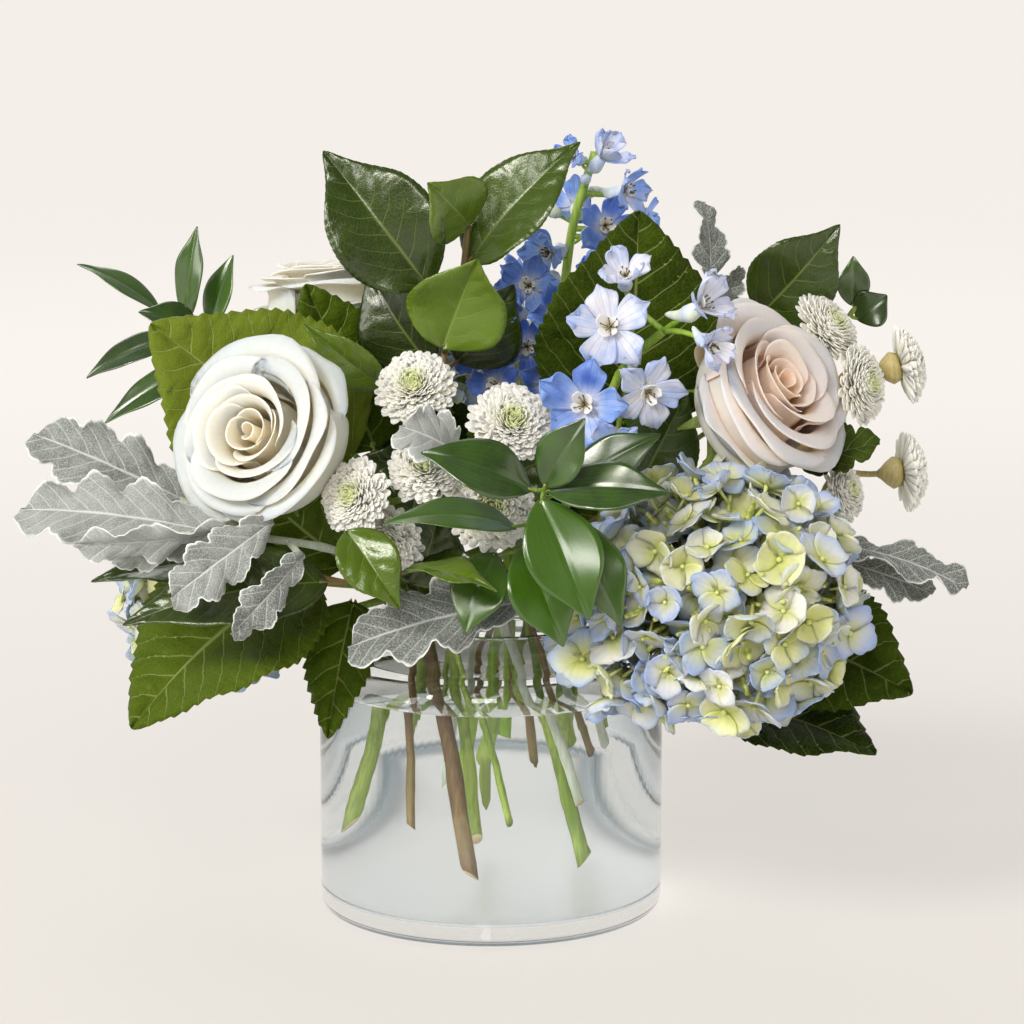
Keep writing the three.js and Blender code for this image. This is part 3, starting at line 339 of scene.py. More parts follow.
def linear(colour):
    """An sRGB hex value as linear red, green and blue with full alpha."""
    parts = [int(colour[k:k + 2], 16) / 255 for k in (1, 3, 5)]
    return [c / 12.92 if c <= 0.04045 else ((c + 0.055) / 1.055) ** 2.4 for c in parts] + [1.0]


def add(tree, kind, inputs=(), **settings):
    """One node with its settings. Its inputs come by name or in order. Each is a value, a hex colour, a
    socket, or a node for its first live output."""
    kind, usual = kind if isinstance(kind, tuple) else (kind, {})
    node = tree.nodes.new(kind)
    for key, value in {**usual, **settings}.items():
        setattr(node, key, value)
    sockets = [s for s in node.inputs if s.enabled]
    for key, value in inputs.items() if isinstance(inputs, dict) else enumerate(inputs):
        socket = sockets[key] if isinstance(key, int) else next(s for s in sockets if s.name == key)
        if isinstance(value, bpy.types.Node):
            value = next(s for s in value.outputs if s.enabled)
        if isinstance(value, bpy.types.NodeSocket):
            tree.links.new(value, socket)
        else:
            socket.default_value = linear(value) if str(value).startswith("#") else value
    return node


def new_finish(name, glow=None, **constants):
    """A material whose one Principled shader has these constants on its own sockets. The glow below its skin
    is its weight, how far red, green and blue go in it, and the scale of that in millimetres."""
    made = bpy.data.materials.new(name)
    made.use_nodes = True
    shader = made.node_tree.nodes["Principled BSDF"]
    if glow:
        weight, radius, scale = glow
        constants.update(Subsurface_Weight=weight, Subsurface_Radius=radius, Subsurface_Scale=scale * MM)
    for key, value in constants.items():
        socket = shader.inputs[key.replace("_", " ")]
        socket.default_value = linear(value) if isinstance(value, str) else value
    return made, made.node_tree, shader


def feed(tree, shader, **sources):
    """Links each named input of the shader to the first live output of a node."""
    for key, node in sources.items():
        tree.links.new(next(s for s in node.outputs if s.enabled), shader.inputs[key.replace("_", " ")])


def marks(tree, name="growth"):
    """The three numbers that each point carries. Its growth is a vein coordinate, front or back, and the
    piece's tint, which on some leaves and delphinium florets also holds painted light and shade. Its floret is
    how near it is to the rim of the head, and two numbers of chance."""
    return add(tree, SPLIT, [add(tree, "ShaderNodeAttribute", attribute_name=name).outputs["Vector"]]).outputs


def blade_map(tree):
    """The share across a blade, 0 to 1 with its rib at a half, and the share along it from its foot."""
    return add(tree, SPLIT, [add(tree, "ShaderNodeUVMap", uv_map="UVMap")]).outputs


def where(tree):
    """Object coordinates, in metres."""
    return add(tree, "ShaderNodeTexCoord").outputs["Object"]


def mottle(tree, size, detail=2.0):
    """Noise over the piece whose lumps are about this many millimetres across."""
    return add(tree, NOISE, {"Vector": where(tree), "Scale": 1 / (size * MM), "Detail": detail})


def from_rib(tree, across):
    """How far a point is from the midrib: 0 on it and 1 at the edge."""
    off = add(tree, MINUS, [across, 0.5])
    return add(tree, TIMES, [add(tree, MATH, [off], operation="ABSOLUTE"), 2.0])


def lines(tree, coordinate, half_width):
    """1 where the coordinate is a whole number, falling to 0 at half_width from it."""
    swing = add(tree, FOLD, [coordinate, 0.5])
    return add(tree, EASED, [swing, 0.0, half_width, 1.0, 0.0])


def room_light(tree):
    """The room around the paper: bright behind the bouquet, dim above it and on the camera's side, so that
    leaves keep their colour. Seen straight or through the glass it is all paper."""
    _, y, z = add(tree, SPLIT, [add(tree, "ShaderNodeTexCoord").outputs["Generated"]]).outputs
    height = add(tree, EASED, [z, 0.2, 0.8])
    wall = add(tree, BLEND, [height, "#dedbd8", "#9b9a9a"])
    behind = add(tree, EASED, [y, -0.5, 0.3])
    lit = add(tree, BLEND, [behind, "#747270", wall])
    path = add(tree, "ShaderNodeLightPath").outputs
    seen = add(tree, MOST, [path["Is Camera Ray"], path["Is Transmission Ray"]])
    feed(tree, tree.nodes["Background"], Color=add(tree, BLEND, [seen, lit, "#f4efe9"]))


def studio_paper():
    """Lit seamless paper: part of its light comes from behind it, so that shadows on it stay faint, and more
    of it further off."""
    made, tree, shader = new_finish("studio_paper", Roughness=0.95, Specular_IOR_Level=0.1,
        Emission_Strength=1.0)
    away = add(tree, VECTOR, [where(tree)], operation="LENGTH")
    far = add(tree, EASED, [away.outputs["Value"], 0.1, 2.2])
    feed(tree, shader,
         Base_Color=add(tree, BLEND, [mottle(tree, 400), "#868380", "#8a8784"]),
         Emission_Color=add(tree, BLEND, [far, "#c5c1bc", "#dcd8d3"]))
    return made


def clear_glass():
    """Soda-lime glass, blown into a mould and fire polished: clear, with a dark slate-blue band round the thick
    edge of its foot that is partly the glass's own tint where light runs the whole way through it and partly
    painted shade, and dull on both faces of its floor, where the mould left its skin."""
    made, tree, shader = new_finish("blown_clear_glass", Transmission_Weight=1.0, IOR=1.5)
    z = add(tree, SPLIT, [where(tree)]).outputs["Z"]
    level = add(tree, VECTOR, [where(tree), (1.0, 1.0, 0.0)], operation="MULTIPLY")
    out = add(tree, VECTOR, [level], operation="LENGTH")
    clear = add(tree, BLEND, [mottle(tree, 60, 1.0), "#ffffff", "#fafdfd"])
    foot = add(tree, EASED, [z, 1.5 * MM, 5.0 * MM, 1.0, 0.0])
    low = add(tree, RANGE, [z, 8.3 * MM, 8.5 * MM, 1.0, 0.0])
    floor_part = add(tree, RANGE, [out.outputs["Value"], 64 * MM, 67 * MM, 1.0, 0.0])
    dull = add(tree, TIMES, [low, floor_part])
    # Painted shade, partly the glass's tint: the outer edge of the foot is dark slate-blue.
    depth = add(tree, BLEND, [floor_part, "#576a77", "#e2eff8"])
    feed(tree, shader, Base_Color=add(tree, BLEND, [foot, clear, depth]),
         Roughness=add(tree, TIMES, [dull, 0.3]))
    return made


def still_water():
    """Still tap water, with the faintest blue, most of it low down, and dull where it lies on the glass."""
    made, tree, shader = new_finish("still_water", Transmission_Weight=1.0, IOR=1.333)
    z = add(tree, SPLIT, [where(tree)]).outputs["Z"]
    low = add(tree, EASED, [z, 8 * MM, 60 * MM, 1.0, 0.0])
    feed(tree, shader, Base_Color=add(tree, BLEND, [low, "#fdfefd", "#f3f9fd"]),
         Roughness=add(tree, RANGE, [z, 7.9 * MM, 8.2 * MM, 0.3, 0.0]))
    return made


def leaf_finish(name, deep, fresh, pale, vein, back, roughness, vein_width, vein_show, net_mm, relief,
                coat=0.0, shine=0.35):
    """A living leaf: mottled between its veins, with a paler back, veins sunk in its face and a fine net
    between them. The net is drawn about twice as coarse as the real one so that it shows. A leaf's tint takes
    it from deep to fresh green and, above 1, towards the pale colour: painted light on lit leaves, and a low
    tint is painted shade."""
    made, tree, shader = new_finish(name, (0.1, (0.3, 0.9, 0.1), 0.8), Coat_Weight=coat,
        Coat_Roughness=0.24, Coat_IOR=1.75, Specular_IOR_Level=shine, Specular_Tint="#a3bd5c")
    vein_at, front, tint = marks(tree)
    across, along, _ = blade_map(tree)
    rib_off = from_rib(tree, across)
    fade = add(tree, RANGE, [rib_off, 0.1, 1.0, vein_width, vein_width * 0.4])
    side_veins = lines(tree, vein_at, fade)
    narrow = add(tree, RANGE, [along, 0.0, 1.0, 0.07, 0.02])
    rib = add(tree, EASED, [rib_off, 0.0, narrow, 1.0, 0.0])
    veins = add(tree, MOST, [add(tree, TIMES, [side_veins, 0.8]), rib])
    net = add(tree, "ShaderNodeTexVoronoi", {"Vector": where(tree), "Scale": 1 / (net_mm * MM)},
              feature="DISTANCE_TO_EDGE")
    mesh = add(tree, EASED, [net.outputs["Distance"], 0.0, 0.12, 1.0, 0.0])
    # Besides chance, the tint carries painted shade, low, towards the deep green, and painted light, above 1.
    body = add(tree, PLUS, [mottle(tree, 11, 4.0), tint])
    flesh = add(tree, BLEND, [add(tree, EASED, [body, 0.5, 1.4]), deep, fresh])
    # Painted light: a tint above 1 turns a lit leaf towards the pale colour.
    lit = add(tree, BLEND, [add(tree, RANGE, [tint, 1.0, 2.0]), flesh, pale])
    shown = add(tree, TIMES, [veins, vein_show])
    laced = add(tree, BLEND, [add(tree, TIMES, [mesh, 0.12 * vein_show]), lit, vein])
    face = add(tree, BLEND, [shown, laced, vein])
    under = add(tree, BLEND, [shown, back, vein])
    both = add(tree, BLEND, [front, under, face])
    worn = add(tree, TIMES_PLUS, [mottle(tree, 3), 0.16, roughness - 0.08])
    sunk = add(tree, TIMES, [mesh, 0.25])
    lumps = add(tree, TIMES, [mottle(tree, 4), 0.2])
    depth = add(tree, PLUS, [add(tree, MOST, [veins, sunk]), lumps])
    bump = add(tree, BUMP, {"Height": depth, "Distance": relief * MM, "Strength": 0.7}, invert=True)
    wax = add(tree, BUMP, {"Height": sunk, "Distance": relief * MM, "Strength": 0.22}, invert=True)
    feed(tree, shader, Base_Color=both, Roughness=worn, Normal=bump, Coat_Normal=wax)
    return made


def felt_finish():
    """Dusty miller: a grey-green leaf under a white felt of fine hairs, thickest on the edge and the veins.
    The felt is drawn as clumps of about half a millimetre, because a single hair is too fine to show."""
    made, tree, shader = new_finish("felted_leaf", Sheen_Weight=0.5, Sheen_Roughness=0.4,
        Sheen_Tint="#eef2f4", Roughness=0.95, Specular_IOR_Level=0.1)
    vein_at, front, tint = marks(tree)
    across, _, _ = blade_map(tree)
    rib_off = from_rib(tree, across)
    rib = add(tree, EASED, [rib_off, 0.0, 0.07, 1.0, 0.0])
    side_veins = add(tree, TIMES, [lines(tree, vein_at, 0.1), 0.5])
    veins = add(tree, MOST, [side_veins, rib])
    edge = add(tree, EASED, [rib_off, 0.9, 1.0])
    pale = add(tree, MOST, [add(tree, TIMES, [veins, 0.6]), edge])
    clump = mottle(tree, 0.55, 3.0)
    # Painted shade: a tint below zero darkens the ground of a leaf that stands in shade.
    cloudy = add(tree, PLUS, [mottle(tree, 8, 3.0), tint])
    share = add(tree, EASED, [cloudy, 0.4, 1.3])
    ground = add(tree, BLEND, [share, "#4f544d", "#979b97"])
    hairs = add(tree, EASED, [clump, 0.4, 0.7, 0.1, 0.75])
    felt = add(tree, BLEND, [hairs, ground, "#b9bebb"])
    face = add(tree, BLEND, [pale, felt, "#f0f2f0"])
    under_felt = add(tree, BLEND, [add(tree, EASED, [clump, 0.3, 0.7]), "#bcc0b0", "#d6d8cc"])
    under = add(tree, BLEND, [pale, under_felt, "#eeefe8"])
    both = add(tree, BLEND, [front, under, face])
    fold = add(tree, PLUS, [add(tree, TIMES, [veins, -1.2]), clump])
    bump = add(tree, BUMP, {"Height": fold, "Distance": 0.35 * MM, "Strength": 0.7})
    feed(tree, shader, Base_Color=both, Normal=bump)
    return made


def petal_finish(name, foot, lip, recess, heart, relief=0.1):
    """A rose petal: velvety, warm where it dives between its neighbours and paler along its rolled lip. The
    warmer, darker recess and heart colours are partly the rose's own peach heart and partly painted shade
    where the petals hide each other.
    """
    made, tree, shader = new_finish(name, (0.85, (1.0, 0.75, 0.5), 5.0), Roughness=0.55,
        Specular_IOR_Level=0.3, Sheen_Weight=0.1, Sheen_Roughness=0.5)
    vein_at, _, depth = marks(tree)
    _, along, _ = blade_map(tree)
    low = add(tree, EASED, [along, 0.0, 0.35, 1.0, 0.0])
    high = add(tree, EASED, [along, 0.6, 0.95])
    # Partly painted shade: low on each petal, where its neighbours cover it, it takes the warmer recess colour.
    body = add(tree, BLEND, [high, recess, lip])
    green = add(tree, BLEND, [low, body, foot])
    # Partly painted shade: the inner rings, deep in the bloom, turn towards the darker peach heart colour.
    warm = add(tree, EASED, [depth, 0.3, 1.0, 0.0, 0.7])
    deep = add(tree, BLEND, [warm, green, heart])
    streak = add(tree, TIMES, [lines(tree, vein_at, 0.3), 0.1])
    veined = add(tree, BLEND, [streak, deep, foot])
    cloud = add(tree, EASED, [mottle(tree, 13, 3.0), 0.35, 0.75, 0.0, 0.2])
    final = add(tree, BLEND, [cloud, veined, recess])
    ripple = add(tree, PLUS, [lines(tree, vein_at, 0.4), mottle(tree, 5)])
    bump = add(tree, BUMP, {"Height": ripple, "Distance": relief * MM, "Strength": 0.3})
    feed(tree, shader, Base_Color=final, Normal=bump)
    return made


def sepal_finish():
    """A hydrangea sepal: cream to yellow-green at its foot, washed with periwinkle towards its edge, and
    bluer on some florets and low on the head."""
    made, tree, shader = new_finish("hydrangea_sepal", (0.65, (0.9, 0.9, 0.7), 2.2), Roughness=0.5,
        Specular_IOR_Level=0.35, Sheen_Weight=0.1)
    vein_at, _, _ = marks(tree)
    across, along, _ = blade_map(tree)
    rim, luck, other = marks(tree, "floret")
    rib_off = from_rib(tree, across)
    side = add(tree, TIMES, [add(tree, POWER, [rib_off, 4.0]), 0.3])
    out = add(tree, PLUS, [along, side])
    young = add(tree, EASED, [add(tree, PLUS, [luck, mottle(tree, 40)]), 0.6, 1.3])
    ground = add(tree, BLEND, [young, "#e8e8d8", "#d8da9a"])
    inner = add(tree, BLEND, [add(tree, EASED, [along, 0.0, 0.6, 0.85, 0.0]), ground, "#c0c863"])
    turned = add(tree, PLUS, [add(tree, TIMES_PLUS, [rim, 0.7, other]), mottle(tree, 18)])
    blue = add(tree, EASED, [turned, 0.6, 1.6, 0.12, 1.0])
    start = add(tree, RANGE, [blue, 0.0, 1.0, 0.85, -0.1])
    reach = add(tree, EASED, [out, start, 1.15])
    blush = add(tree, TIMES, [reach, add(tree, RANGE, [blue, 0.0, 1.0, 0.35, 1.0])])
    tinted = add(tree, BLEND, [blush, inner, "#8ca4dd"])
    streak = add(tree, TIMES, [lines(tree, vein_at, 0.2), 0.12])
    veined = add(tree, BLEND, [streak, tinted, "#b4c09a"])
    bump = add(tree, BUMP, {"Height": lines(tree, vein_at, 0.3), "Distance": 0.15 * MM,
                                        "Strength": 0.4}, invert=True)
    feed(tree, shader, Base_Color=veined, Normal=bump)
    return made


def floret_heart_finish():
    """The bead in a hydrangea floret: waxy, yellow-green to cream."""
    made, tree, shader = new_finish("hydrangea_bead", (0.4, (1, 1, 1), 1), Roughness=0.45)
    feed(tree, shader, Base_Color=add(tree, BLEND, [mottle(tree, 30), "#b9c65a", "#dfe2ac"]))
    return made


def head_core_finish():
    """The crowded yellow-green stalks and young buds that fill a head behind its florets."""
    made, tree, shader = new_finish("flower_stalks", (0.3, (1.0, 1.0, 0.4), 1), Roughness=0.6)
    share = add(tree, EASED, [mottle(tree, 2.0, 3.0), 0.35, 0.65])
    feed(tree, shader, Base_Color=add(tree, BLEND, [share, "#97a544", "#d8dc86"]))
    return made


def ray_finish():
    """A button chrysanthemum petal: matt white, shaded to green-yellow at its foot and in the heart."""
    made, tree, shader = new_finish("chrysanthemum_petal", (0.8, (1, 0.97, 0.8), 3.0), Roughness=0.6,
        Specular_IOR_Level=0.3)
    vein_at, _, _ = marks(tree)
    _, along, _ = blade_map(tree)
    rim, _, _ = marks(tree, "floret")
    heart = add(tree, EASED, [rim, 0.02, 0.34, 1.0, 0.0])
    tip = add(tree, BLEND, [heart, "#faf8ec", "#dce79c"])
    foot = add(tree, EASED, [along, 0.2, 0.75, 0.6, 0.0])
    shaded = add(tree, BLEND, [foot, tip, "#dbe2a4"])
    cloud = add(tree, BLEND, [add(tree, EASED, [mottle(tree, 12), 0.4, 0.8, 0.0, 0.3]), shaded, "#efeacb"])
    bump = add(tree, BUMP, {"Height": lines(tree, vein_at, 0.4), "Distance": 0.15 * MM,
                                        "Strength": 0.4}, invert=True)
    feed(tree, shader, Base_Color=cloud, Normal=bump)
    return made


def larkspur_finish():
    """A delphinium sepal: thin and silky, pale lavender to clear blue, with a deeper tip and a white foot.
    The deep navy that a tint of 1 and more brings is painted shade.
    """
    made, tree, shader = new_finish("delphinium_sepal", (0.6, (0.7, 0.8, 1.0), 2.0), Roughness=0.45,
        Specular_IOR_Level=0.4, Sheen_Weight=0.25, Sheen_Roughness=0.4)
    vein_at, _, own = marks(tree)
    across, along, _ = blade_map(tree)
    rib_off = from_rib(tree, across)
    cloud = add(tree, PLUS, [own, mottle(tree, 9, 3.0)])
    pale = add(tree, EASED, [cloud, 0.4, 1.1])
    light = add(tree, BLEND, [pale, "#e3e4f6", "#7f9de6"])
    # Painted shade: the bluest tints, on the low florets of the tall spire, go deep navy.
    deep = add(tree, EASED, [cloud, 1.0, 1.5])
    ground = add(tree, BLEND, [deep, light, "#3f62bd"])
    foot = add(tree, EASED, [along, 0.0, 0.45, 0.7, 0.0])
    white = add(tree, BLEND, [foot, ground, "#eeeef4"])
    edge = add(tree, MOST, [add(tree, POWER, [rib_off, 3.0]), along])
    rim = add(tree, EASED, [edge, 0.55, 1.0, 0.0, 0.45])
    rimmed = add(tree, BLEND, [rim, white, "#6f90e2"])
    streak = lines(tree, vein_at, 0.18)
    final = add(tree, BLEND, [add(tree, TIMES, [streak, 0.12]), rimmed, "#7890d6"])
    bump = add(tree, BUMP, {"Height": streak, "Distance": 0.25 * MM, "Strength": 0.6}, invert=True)
    feed(tree, shader, Base_Color=final, Normal=bump)
    return made


def bee_finish():
    """The small white inner petals of a delphinium, with a warm throat."""
    made, tree, shader = new_finish("delphinium_eye", (0.4, (1, 1, 1), 1), Roughness=0.6)
    _, along, _ = blade_map(tree)
    out = add(tree, EASED, [along, 0.0, 0.6])
    feed(tree, shader, Base_Color=add(tree, BLEND, [out, "#cdbf8e", "#f3f1ee"]))
    return made


def stem_finish(name, young, old, streak_mm=1.2, roughness=0.5, sheen=0.0):
    """A cut stem: fibres run along it, and its colour changes slowly from one stretch to the next."""
    made, tree, shader = new_finish(name, (0.1, (0.4, 1.0, 0.2), 1), Roughness=roughness,
        Sheen_Weight=sheen)
    stretched = add(tree, "ShaderNodeMapping", {"Vector": where(tree), "Scale": (1.0, 1.0, 0.08)})
    fibres = add(tree, NOISE, {"Vector": stretched, "Scale": 1 / (streak_mm * MM), "Detail": 3.0})
    slow = add(tree, PLUS, [mottle(tree, 26), fibres])
    feed(tree, shader,
         Base_Color=add(tree, BLEND, [add(tree, EASED, [slow, 0.7, 1.3]), young, old]),
         Normal=add(tree, BUMP, {"Height": fibres, "Distance": 0.2 * MM, "Strength": 0.5}))
    return made


FINISHES = {}


def finishes():
    """Makes every material once, under the short names that the pieces use."""
    FINISHES.update({
        "glass": clear_glass(),
        "water": still_water(),
        # Broad, soft, and deeply veined; leathery; glossy; small and matt.
        "hydrangea_leaf": leaf_finish("hydrangea_leaf", "#1b2905", "#3a4d07", "#7d8c30", "#aeb973", "#76823f",
                                      0.5, 0.085, 0.42, 2.2, 0.7, shine=0.3),
        "salal_leaf": leaf_finish("salal_leaf", "#141f03", "#2c4006", "#647f14", "#8a9a48", "#6a7c40",
                                  0.36, 0.05, 0.4, 1.7, 0.3, coat=0.6),
        "ruscus_leaf": leaf_finish("ruscus_leaf", "#183004", "#375a0a", "#5a8218", "#587826", "#527426",
                                   0.36, 0.08, 0.2, 3.0, 0.08, coat=1.0, shine=0.3),
        "mum_leaf": leaf_finish("chrysanthemum_leaf", "#2f3d10", "#4e5f1c", "#6c7f34", "#87956a", "#87926a",
                                0.6, 0.08, 0.6, 1.8, 0.4),
        "dusty_leaf": felt_finish(),
        # Cream with a green foot, and cream washed with peach at the heart; that peach and the warm recess are
        #         # partly the roses' own colour and partly painted shade deep among the petals.
        "ivory": petal_finish("ivory_rose_petal", "#e6e4c2", "#f5f3e4", "#f1e6cd", "#eedcb9"),
        "blush": petal_finish("blush_rose_petal", "#f3e3cb", "#fff1e6", "#fedec6", "#f9be98"),
        "hydrangea_sepal": sepal_finish(),
        "hydrangea_bead": floret_heart_finish(),
        "head_core": head_core_finish(),
        "ray": ray_finish(),
        "larkspur": larkspur_finish(),
        "bee": bee_finish(),
        # Dry dark pollen sacs; the pale spur behind a floret; fresh, bright, dried, barked, half-woody and
        # felted stems; and the pith where a stem was cut.
        "anther": stem_finish("dark_anther", "#3b342a", "#6d6349", 0.6, 0.7),
        "spur": stem_finish("delphinium_spur", "#dfe6d0", "#b4c2e2", 2.5, 0.55),
        "green_stem": stem_finish("fresh_green_stem", "#627d27", "#94a84c"),
        "bright_stem": stem_finish("bright_green_stalk", "#769a28", "#a2be4e"),
        "tan_stem": stem_finish("pale_tan_stem", "#a3935a", "#c6b681"),
        "woody_stem": stem_finish("brown_stem", "#4d3722", "#736438"),
        "twig": stem_finish("green_brown_twig", "#666234", "#7d5c3b"),
        "grey_stem": stem_finish("felted_stem", "#9aa68e", "#bcc4b6", roughness=0.9, sheen=0.5),
        "cut_end": stem_finish("cut_end", "#c9b083", "#e2d3ae", 0.5, 0.8),
    })


# ---- Shapes ----
def unit(v):
    return v / max(np.linalg.norm(v), 1e-9)


def soft(t, low, high):
    """0 below low, 1 above high and a soft step between."""
    x = np.clip((np.asarray(t, float) - low) / (high - low), 0, 1)
    return x * x * (3 - 2 * x)


def petal_grid(rows, columns):
    """Shares across, -1 to 1, and along, 0 to 1, as a row and a column."""
    return np.linspace(-1, 1, columns)[None, :], np.linspace(0, 1, rows)[:, None]


def joined(*parts):
    return np.stack(np.broadcast_arrays(*parts), -1)


def turned(r, side, z, angle):
    """Points r out from the axis, to the side of that by side and up by z, turned about the axis."""
    east, north = math.cos(angle), math.sin(angle)
    return joined(r * east - side * north, r * north + side * east, z)


def arc(start, middle, end, t):
    """The curve from start to end that heads for the middle, at the shares t of it."""
    return (1 - t) ** 2 * start + 2 * t * (1 - t) * middle + t * t * end


def kind_of(name):
    return name.split("_")[0]


def axes_for(facing, turn=0.0):
    """Three axes whose third looks along facing, turned about it, as the shortest turn from +Z gives them."""
    spin = Vector((0, 0, 1)).rotation_difference(Vector(facing).normalized()).to_matrix()
    x, y = math.cos(turn), math.sin(turn)
    return np.array([spin @ Vector((x, y, 0)), spin @ Vector((-y, x, 0)), spin @ Vector((0, 0, 1))])


class Shape:
    """Gathers closed sheets and tubes in millimetres into one mesh."""

    def __init__(self, finishes_used):
        self.finishes = finishes_used
        self.points = []
        self.faces = []
        self.slots = []
        self.uv = []
        self.growth = []
        self.count = 0

    def put(self, points, faces, uv, grown, slot):
        self.points.append(points)
        self.faces += [tuple(self.count + k for k in face) for face in faces]
        self.slots += [slot] * len(faces)
        self.uv.append(uv)
        self.growth.append(grown)
        self.count += len(points)

    def sheet(self, middle, front, back, uv, vein, tint, slot=0):
        """A closed leaf or petal: a grid of middle points with rows along it and columns across it, and how
        far its front and back stand off them."""
        rows, columns = middle.shape[:2]
        across = np.gradient(middle, axis=1)
        along = np.gradient(middle, axis=0)
        normal = np.cross(across, along)
        normal /= np.maximum(np.linalg.norm(normal, axis=2, keepdims=True), 1e-9)
        faces_of = [middle + normal * np.broadcast_to(front, middle.shape[:2])[..., None],
                    middle - normal * np.broadcast_to(back, middle.shape[:2])[..., None]]
        size = rows * columns
        at = np.arange(size).reshape(rows, columns)
        quads = np.stack([at[:-1, :-1], at[:-1, 1:], at[1:, 1:], at[1:, :-1]], -1).reshape(-1, 4)
        rim = np.concatenate([at[0, :-1], at[:-1, -1], at[-1, :0:-1], at[:0:-1, 0]])
        beyond = np.roll(rim, -1)
        walls = np.stack([beyond, rim, rim + size, beyond + size], -1)
        faces = np.concatenate([quads, quads[:, ::-1] + size, walls])
        flat_uv = uv.reshape(-1, 2)
        grown = np.zeros((2 * size, 3))
        grown[:, 0] = np.tile(np.broadcast_to(vein, (rows, columns)).reshape(-1), 2)
        grown[:size, 1] = 1.0
        grown[:, 2] = tint
        self.put(np.concatenate([f.reshape(-1, 3) for f in faces_of]), faces.tolist(),
                 np.concatenate([flat_uv, flat_uv]), grown, slot)

    def tube(self, path, radii, sides=8, tint=0.5, slot=0, end_slot=None):
        """A round closed tube along a path, with a radius at each point of it."""
        path = np.asarray(path, float)
        radii = np.broadcast_to(radii, len(path))
        run = np.gradient(path, axis=0)
        run /= np.linalg.norm(run, axis=1, keepdims=True)
        lead = unit(np.cross(run[0], UP if abs(run[0][2]) < 0.9 else np.array([1.0, 0, 0])))
        rings = []
        for centre, ahead, radius in zip(path, run, radii):
            lead = unit(lead - ahead * lead.dot(ahead))
            other = np.cross(ahead, lead)
            angles = TURN * np.arange(sides) / sides
            rings.append(centre + radius * (np.cos(angles)[:, None] * lead + np.sin(angles)[:, None] * other))
        points = np.concatenate([np.concatenate(rings), path[[0, -1]]])
        faces = []
        for row in range(len(path) - 1):
            for k in range(sides):
                a, b = row * sides + k, row * sides + (k + 1) % sides
                faces.append((a, b, b + sides, a + sides))
        count = len(points)
        uv = np.zeros((count, 2))
        uv[:-2, 0] = np.tile(np.abs(2 * np.arange(sides) / sides - 1), len(path))
        uv[:-2, 1] = np.repeat(np.linspace(0, 1, len(path)), sides)
        grown = np.tile([0.5, 1.0, tint], (count, 1))
        last = (len(path) - 1) * sides
        first_cap = [(count - 2, (k + 1) % sides, k) for k in range(sides)]
        last_cap = [(count - 1, last + k, last + (k + 1) % sides) for k in range(sides)]
        self.put(points, faces + last_cap, uv, grown, slot)
        self.faces += [tuple(self.count - count + k for k in face) for face in first_cap]
        self.slots += [slot if end_slot is None else end_slot] * sides

    def made(self, name):
        """The mesh as an object in metres at the origin."""
        mesh = bpy.data.meshes.new(name)
        points = np.concatenate(self.points) * MM
        mesh.from_pydata(points.tolist(), [], self.faces)
        for finish in self.finishes:
            mesh.materials.append(FINISHES[finish])
        mesh.polygons.foreach_set("material_index", self.slots)
        mesh.polygons.foreach_set("use_smooth", [True] * len(self.faces))
        corner = np.zeros(len(mesh.loops), np.int32)
        mesh.loops.foreach_get("vertex_index", corner)
        layer = mesh.uv_layers.new(name="UVMap")
        layer.data.foreach_set("uv", np.concatenate(self.uv)[corner].astype(np.float32).ravel())
        kept = mesh.attributes.new("growth", "FLOAT_VECTOR", "POINT")
        kept.data.foreach_set("vector", np.concatenate(self.growth).astype(np.float32).ravel())
        mesh.update()
        return stand(name, mesh)


def settle(piece, node):
    """The piece stands for a node and moves with the part; the node's own part is hidden."""
    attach(piece, "root")
    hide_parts(node)


def lathe(name, outline, finish, segments=128):
    """A closed turned shape. The outline is (radius, z, fillet) corners, and starts and ends on the axis."""
    points = []
    for k, (r, z, fillet) in enumerate(outline):
        here = np.array([r, z], float)
        if not fillet:
            points.append(here)
            continue
        before = here + unit(np.array(outline[k - 1][:2]) - here) * fillet
        after = here + unit(np.array(outline[k + 1][:2]) - here) * fillet
        points += list(arc(before, here, after, np.linspace(0, 1, FILLET_STEPS)[:, None]))
    angles = TURN * np.arange(segments) / segments
    rings = [joined(r * np.cos(angles), r * np.sin(angles), z) for r, z in points[1:-1]]
    at = np.arange(len(rings) * segments).reshape(len(rings), segments)
    ahead = np.roll(at, -1, axis=1)
    quads = np.stack([at[:-1], ahead[:-1], ahead[1:], at[1:]], -1).reshape(-1, 4).tolist()
    poles = [(0, 0, points[0][1]), (0, 0, points[-1][1])]
    low, high = at.size, at.size + 1
    fans = [(low, int(b), int(a)) for a, b in zip(at[0], ahead[0])]
    fans += [(high, int(a), int(b)) for a, b in zip(at[-1], ahead[-1])]
    mesh = bpy.data.meshes.new(name)
    mesh.from_pydata((np.concatenate(rings + [poles]) * MM).tolist(), [], quads + fans)
    mesh.polygons.foreach_set("use_smooth", [True] * len(mesh.polygons))
    mesh.materials.append(FINISHES[finish])
    return stand(name, mesh)


FILLET_STEPS = 9
VASE_OUTLINE = [
    (0, 0, 0), (75, 0, 7), (75, 112, 11), (49, 121.8, 8), (49.6, 132, 3), (50.6, 138.9, 1.8),
    (45, 138.9, 2.6), (45, 118.8, 7), (71.5, 109, 9), (71.5, 8, 9), (0, 8.2, 0),
]
WATER_OUTLINE = [
    (0, 7.8, 0), (71.65, 7.8, 9), (71.65, 100.6, 0), (70.6, 99.7, 0), (68.5, 99.1, 0), (62, 99, 0),
    (0, 99, 0),
]


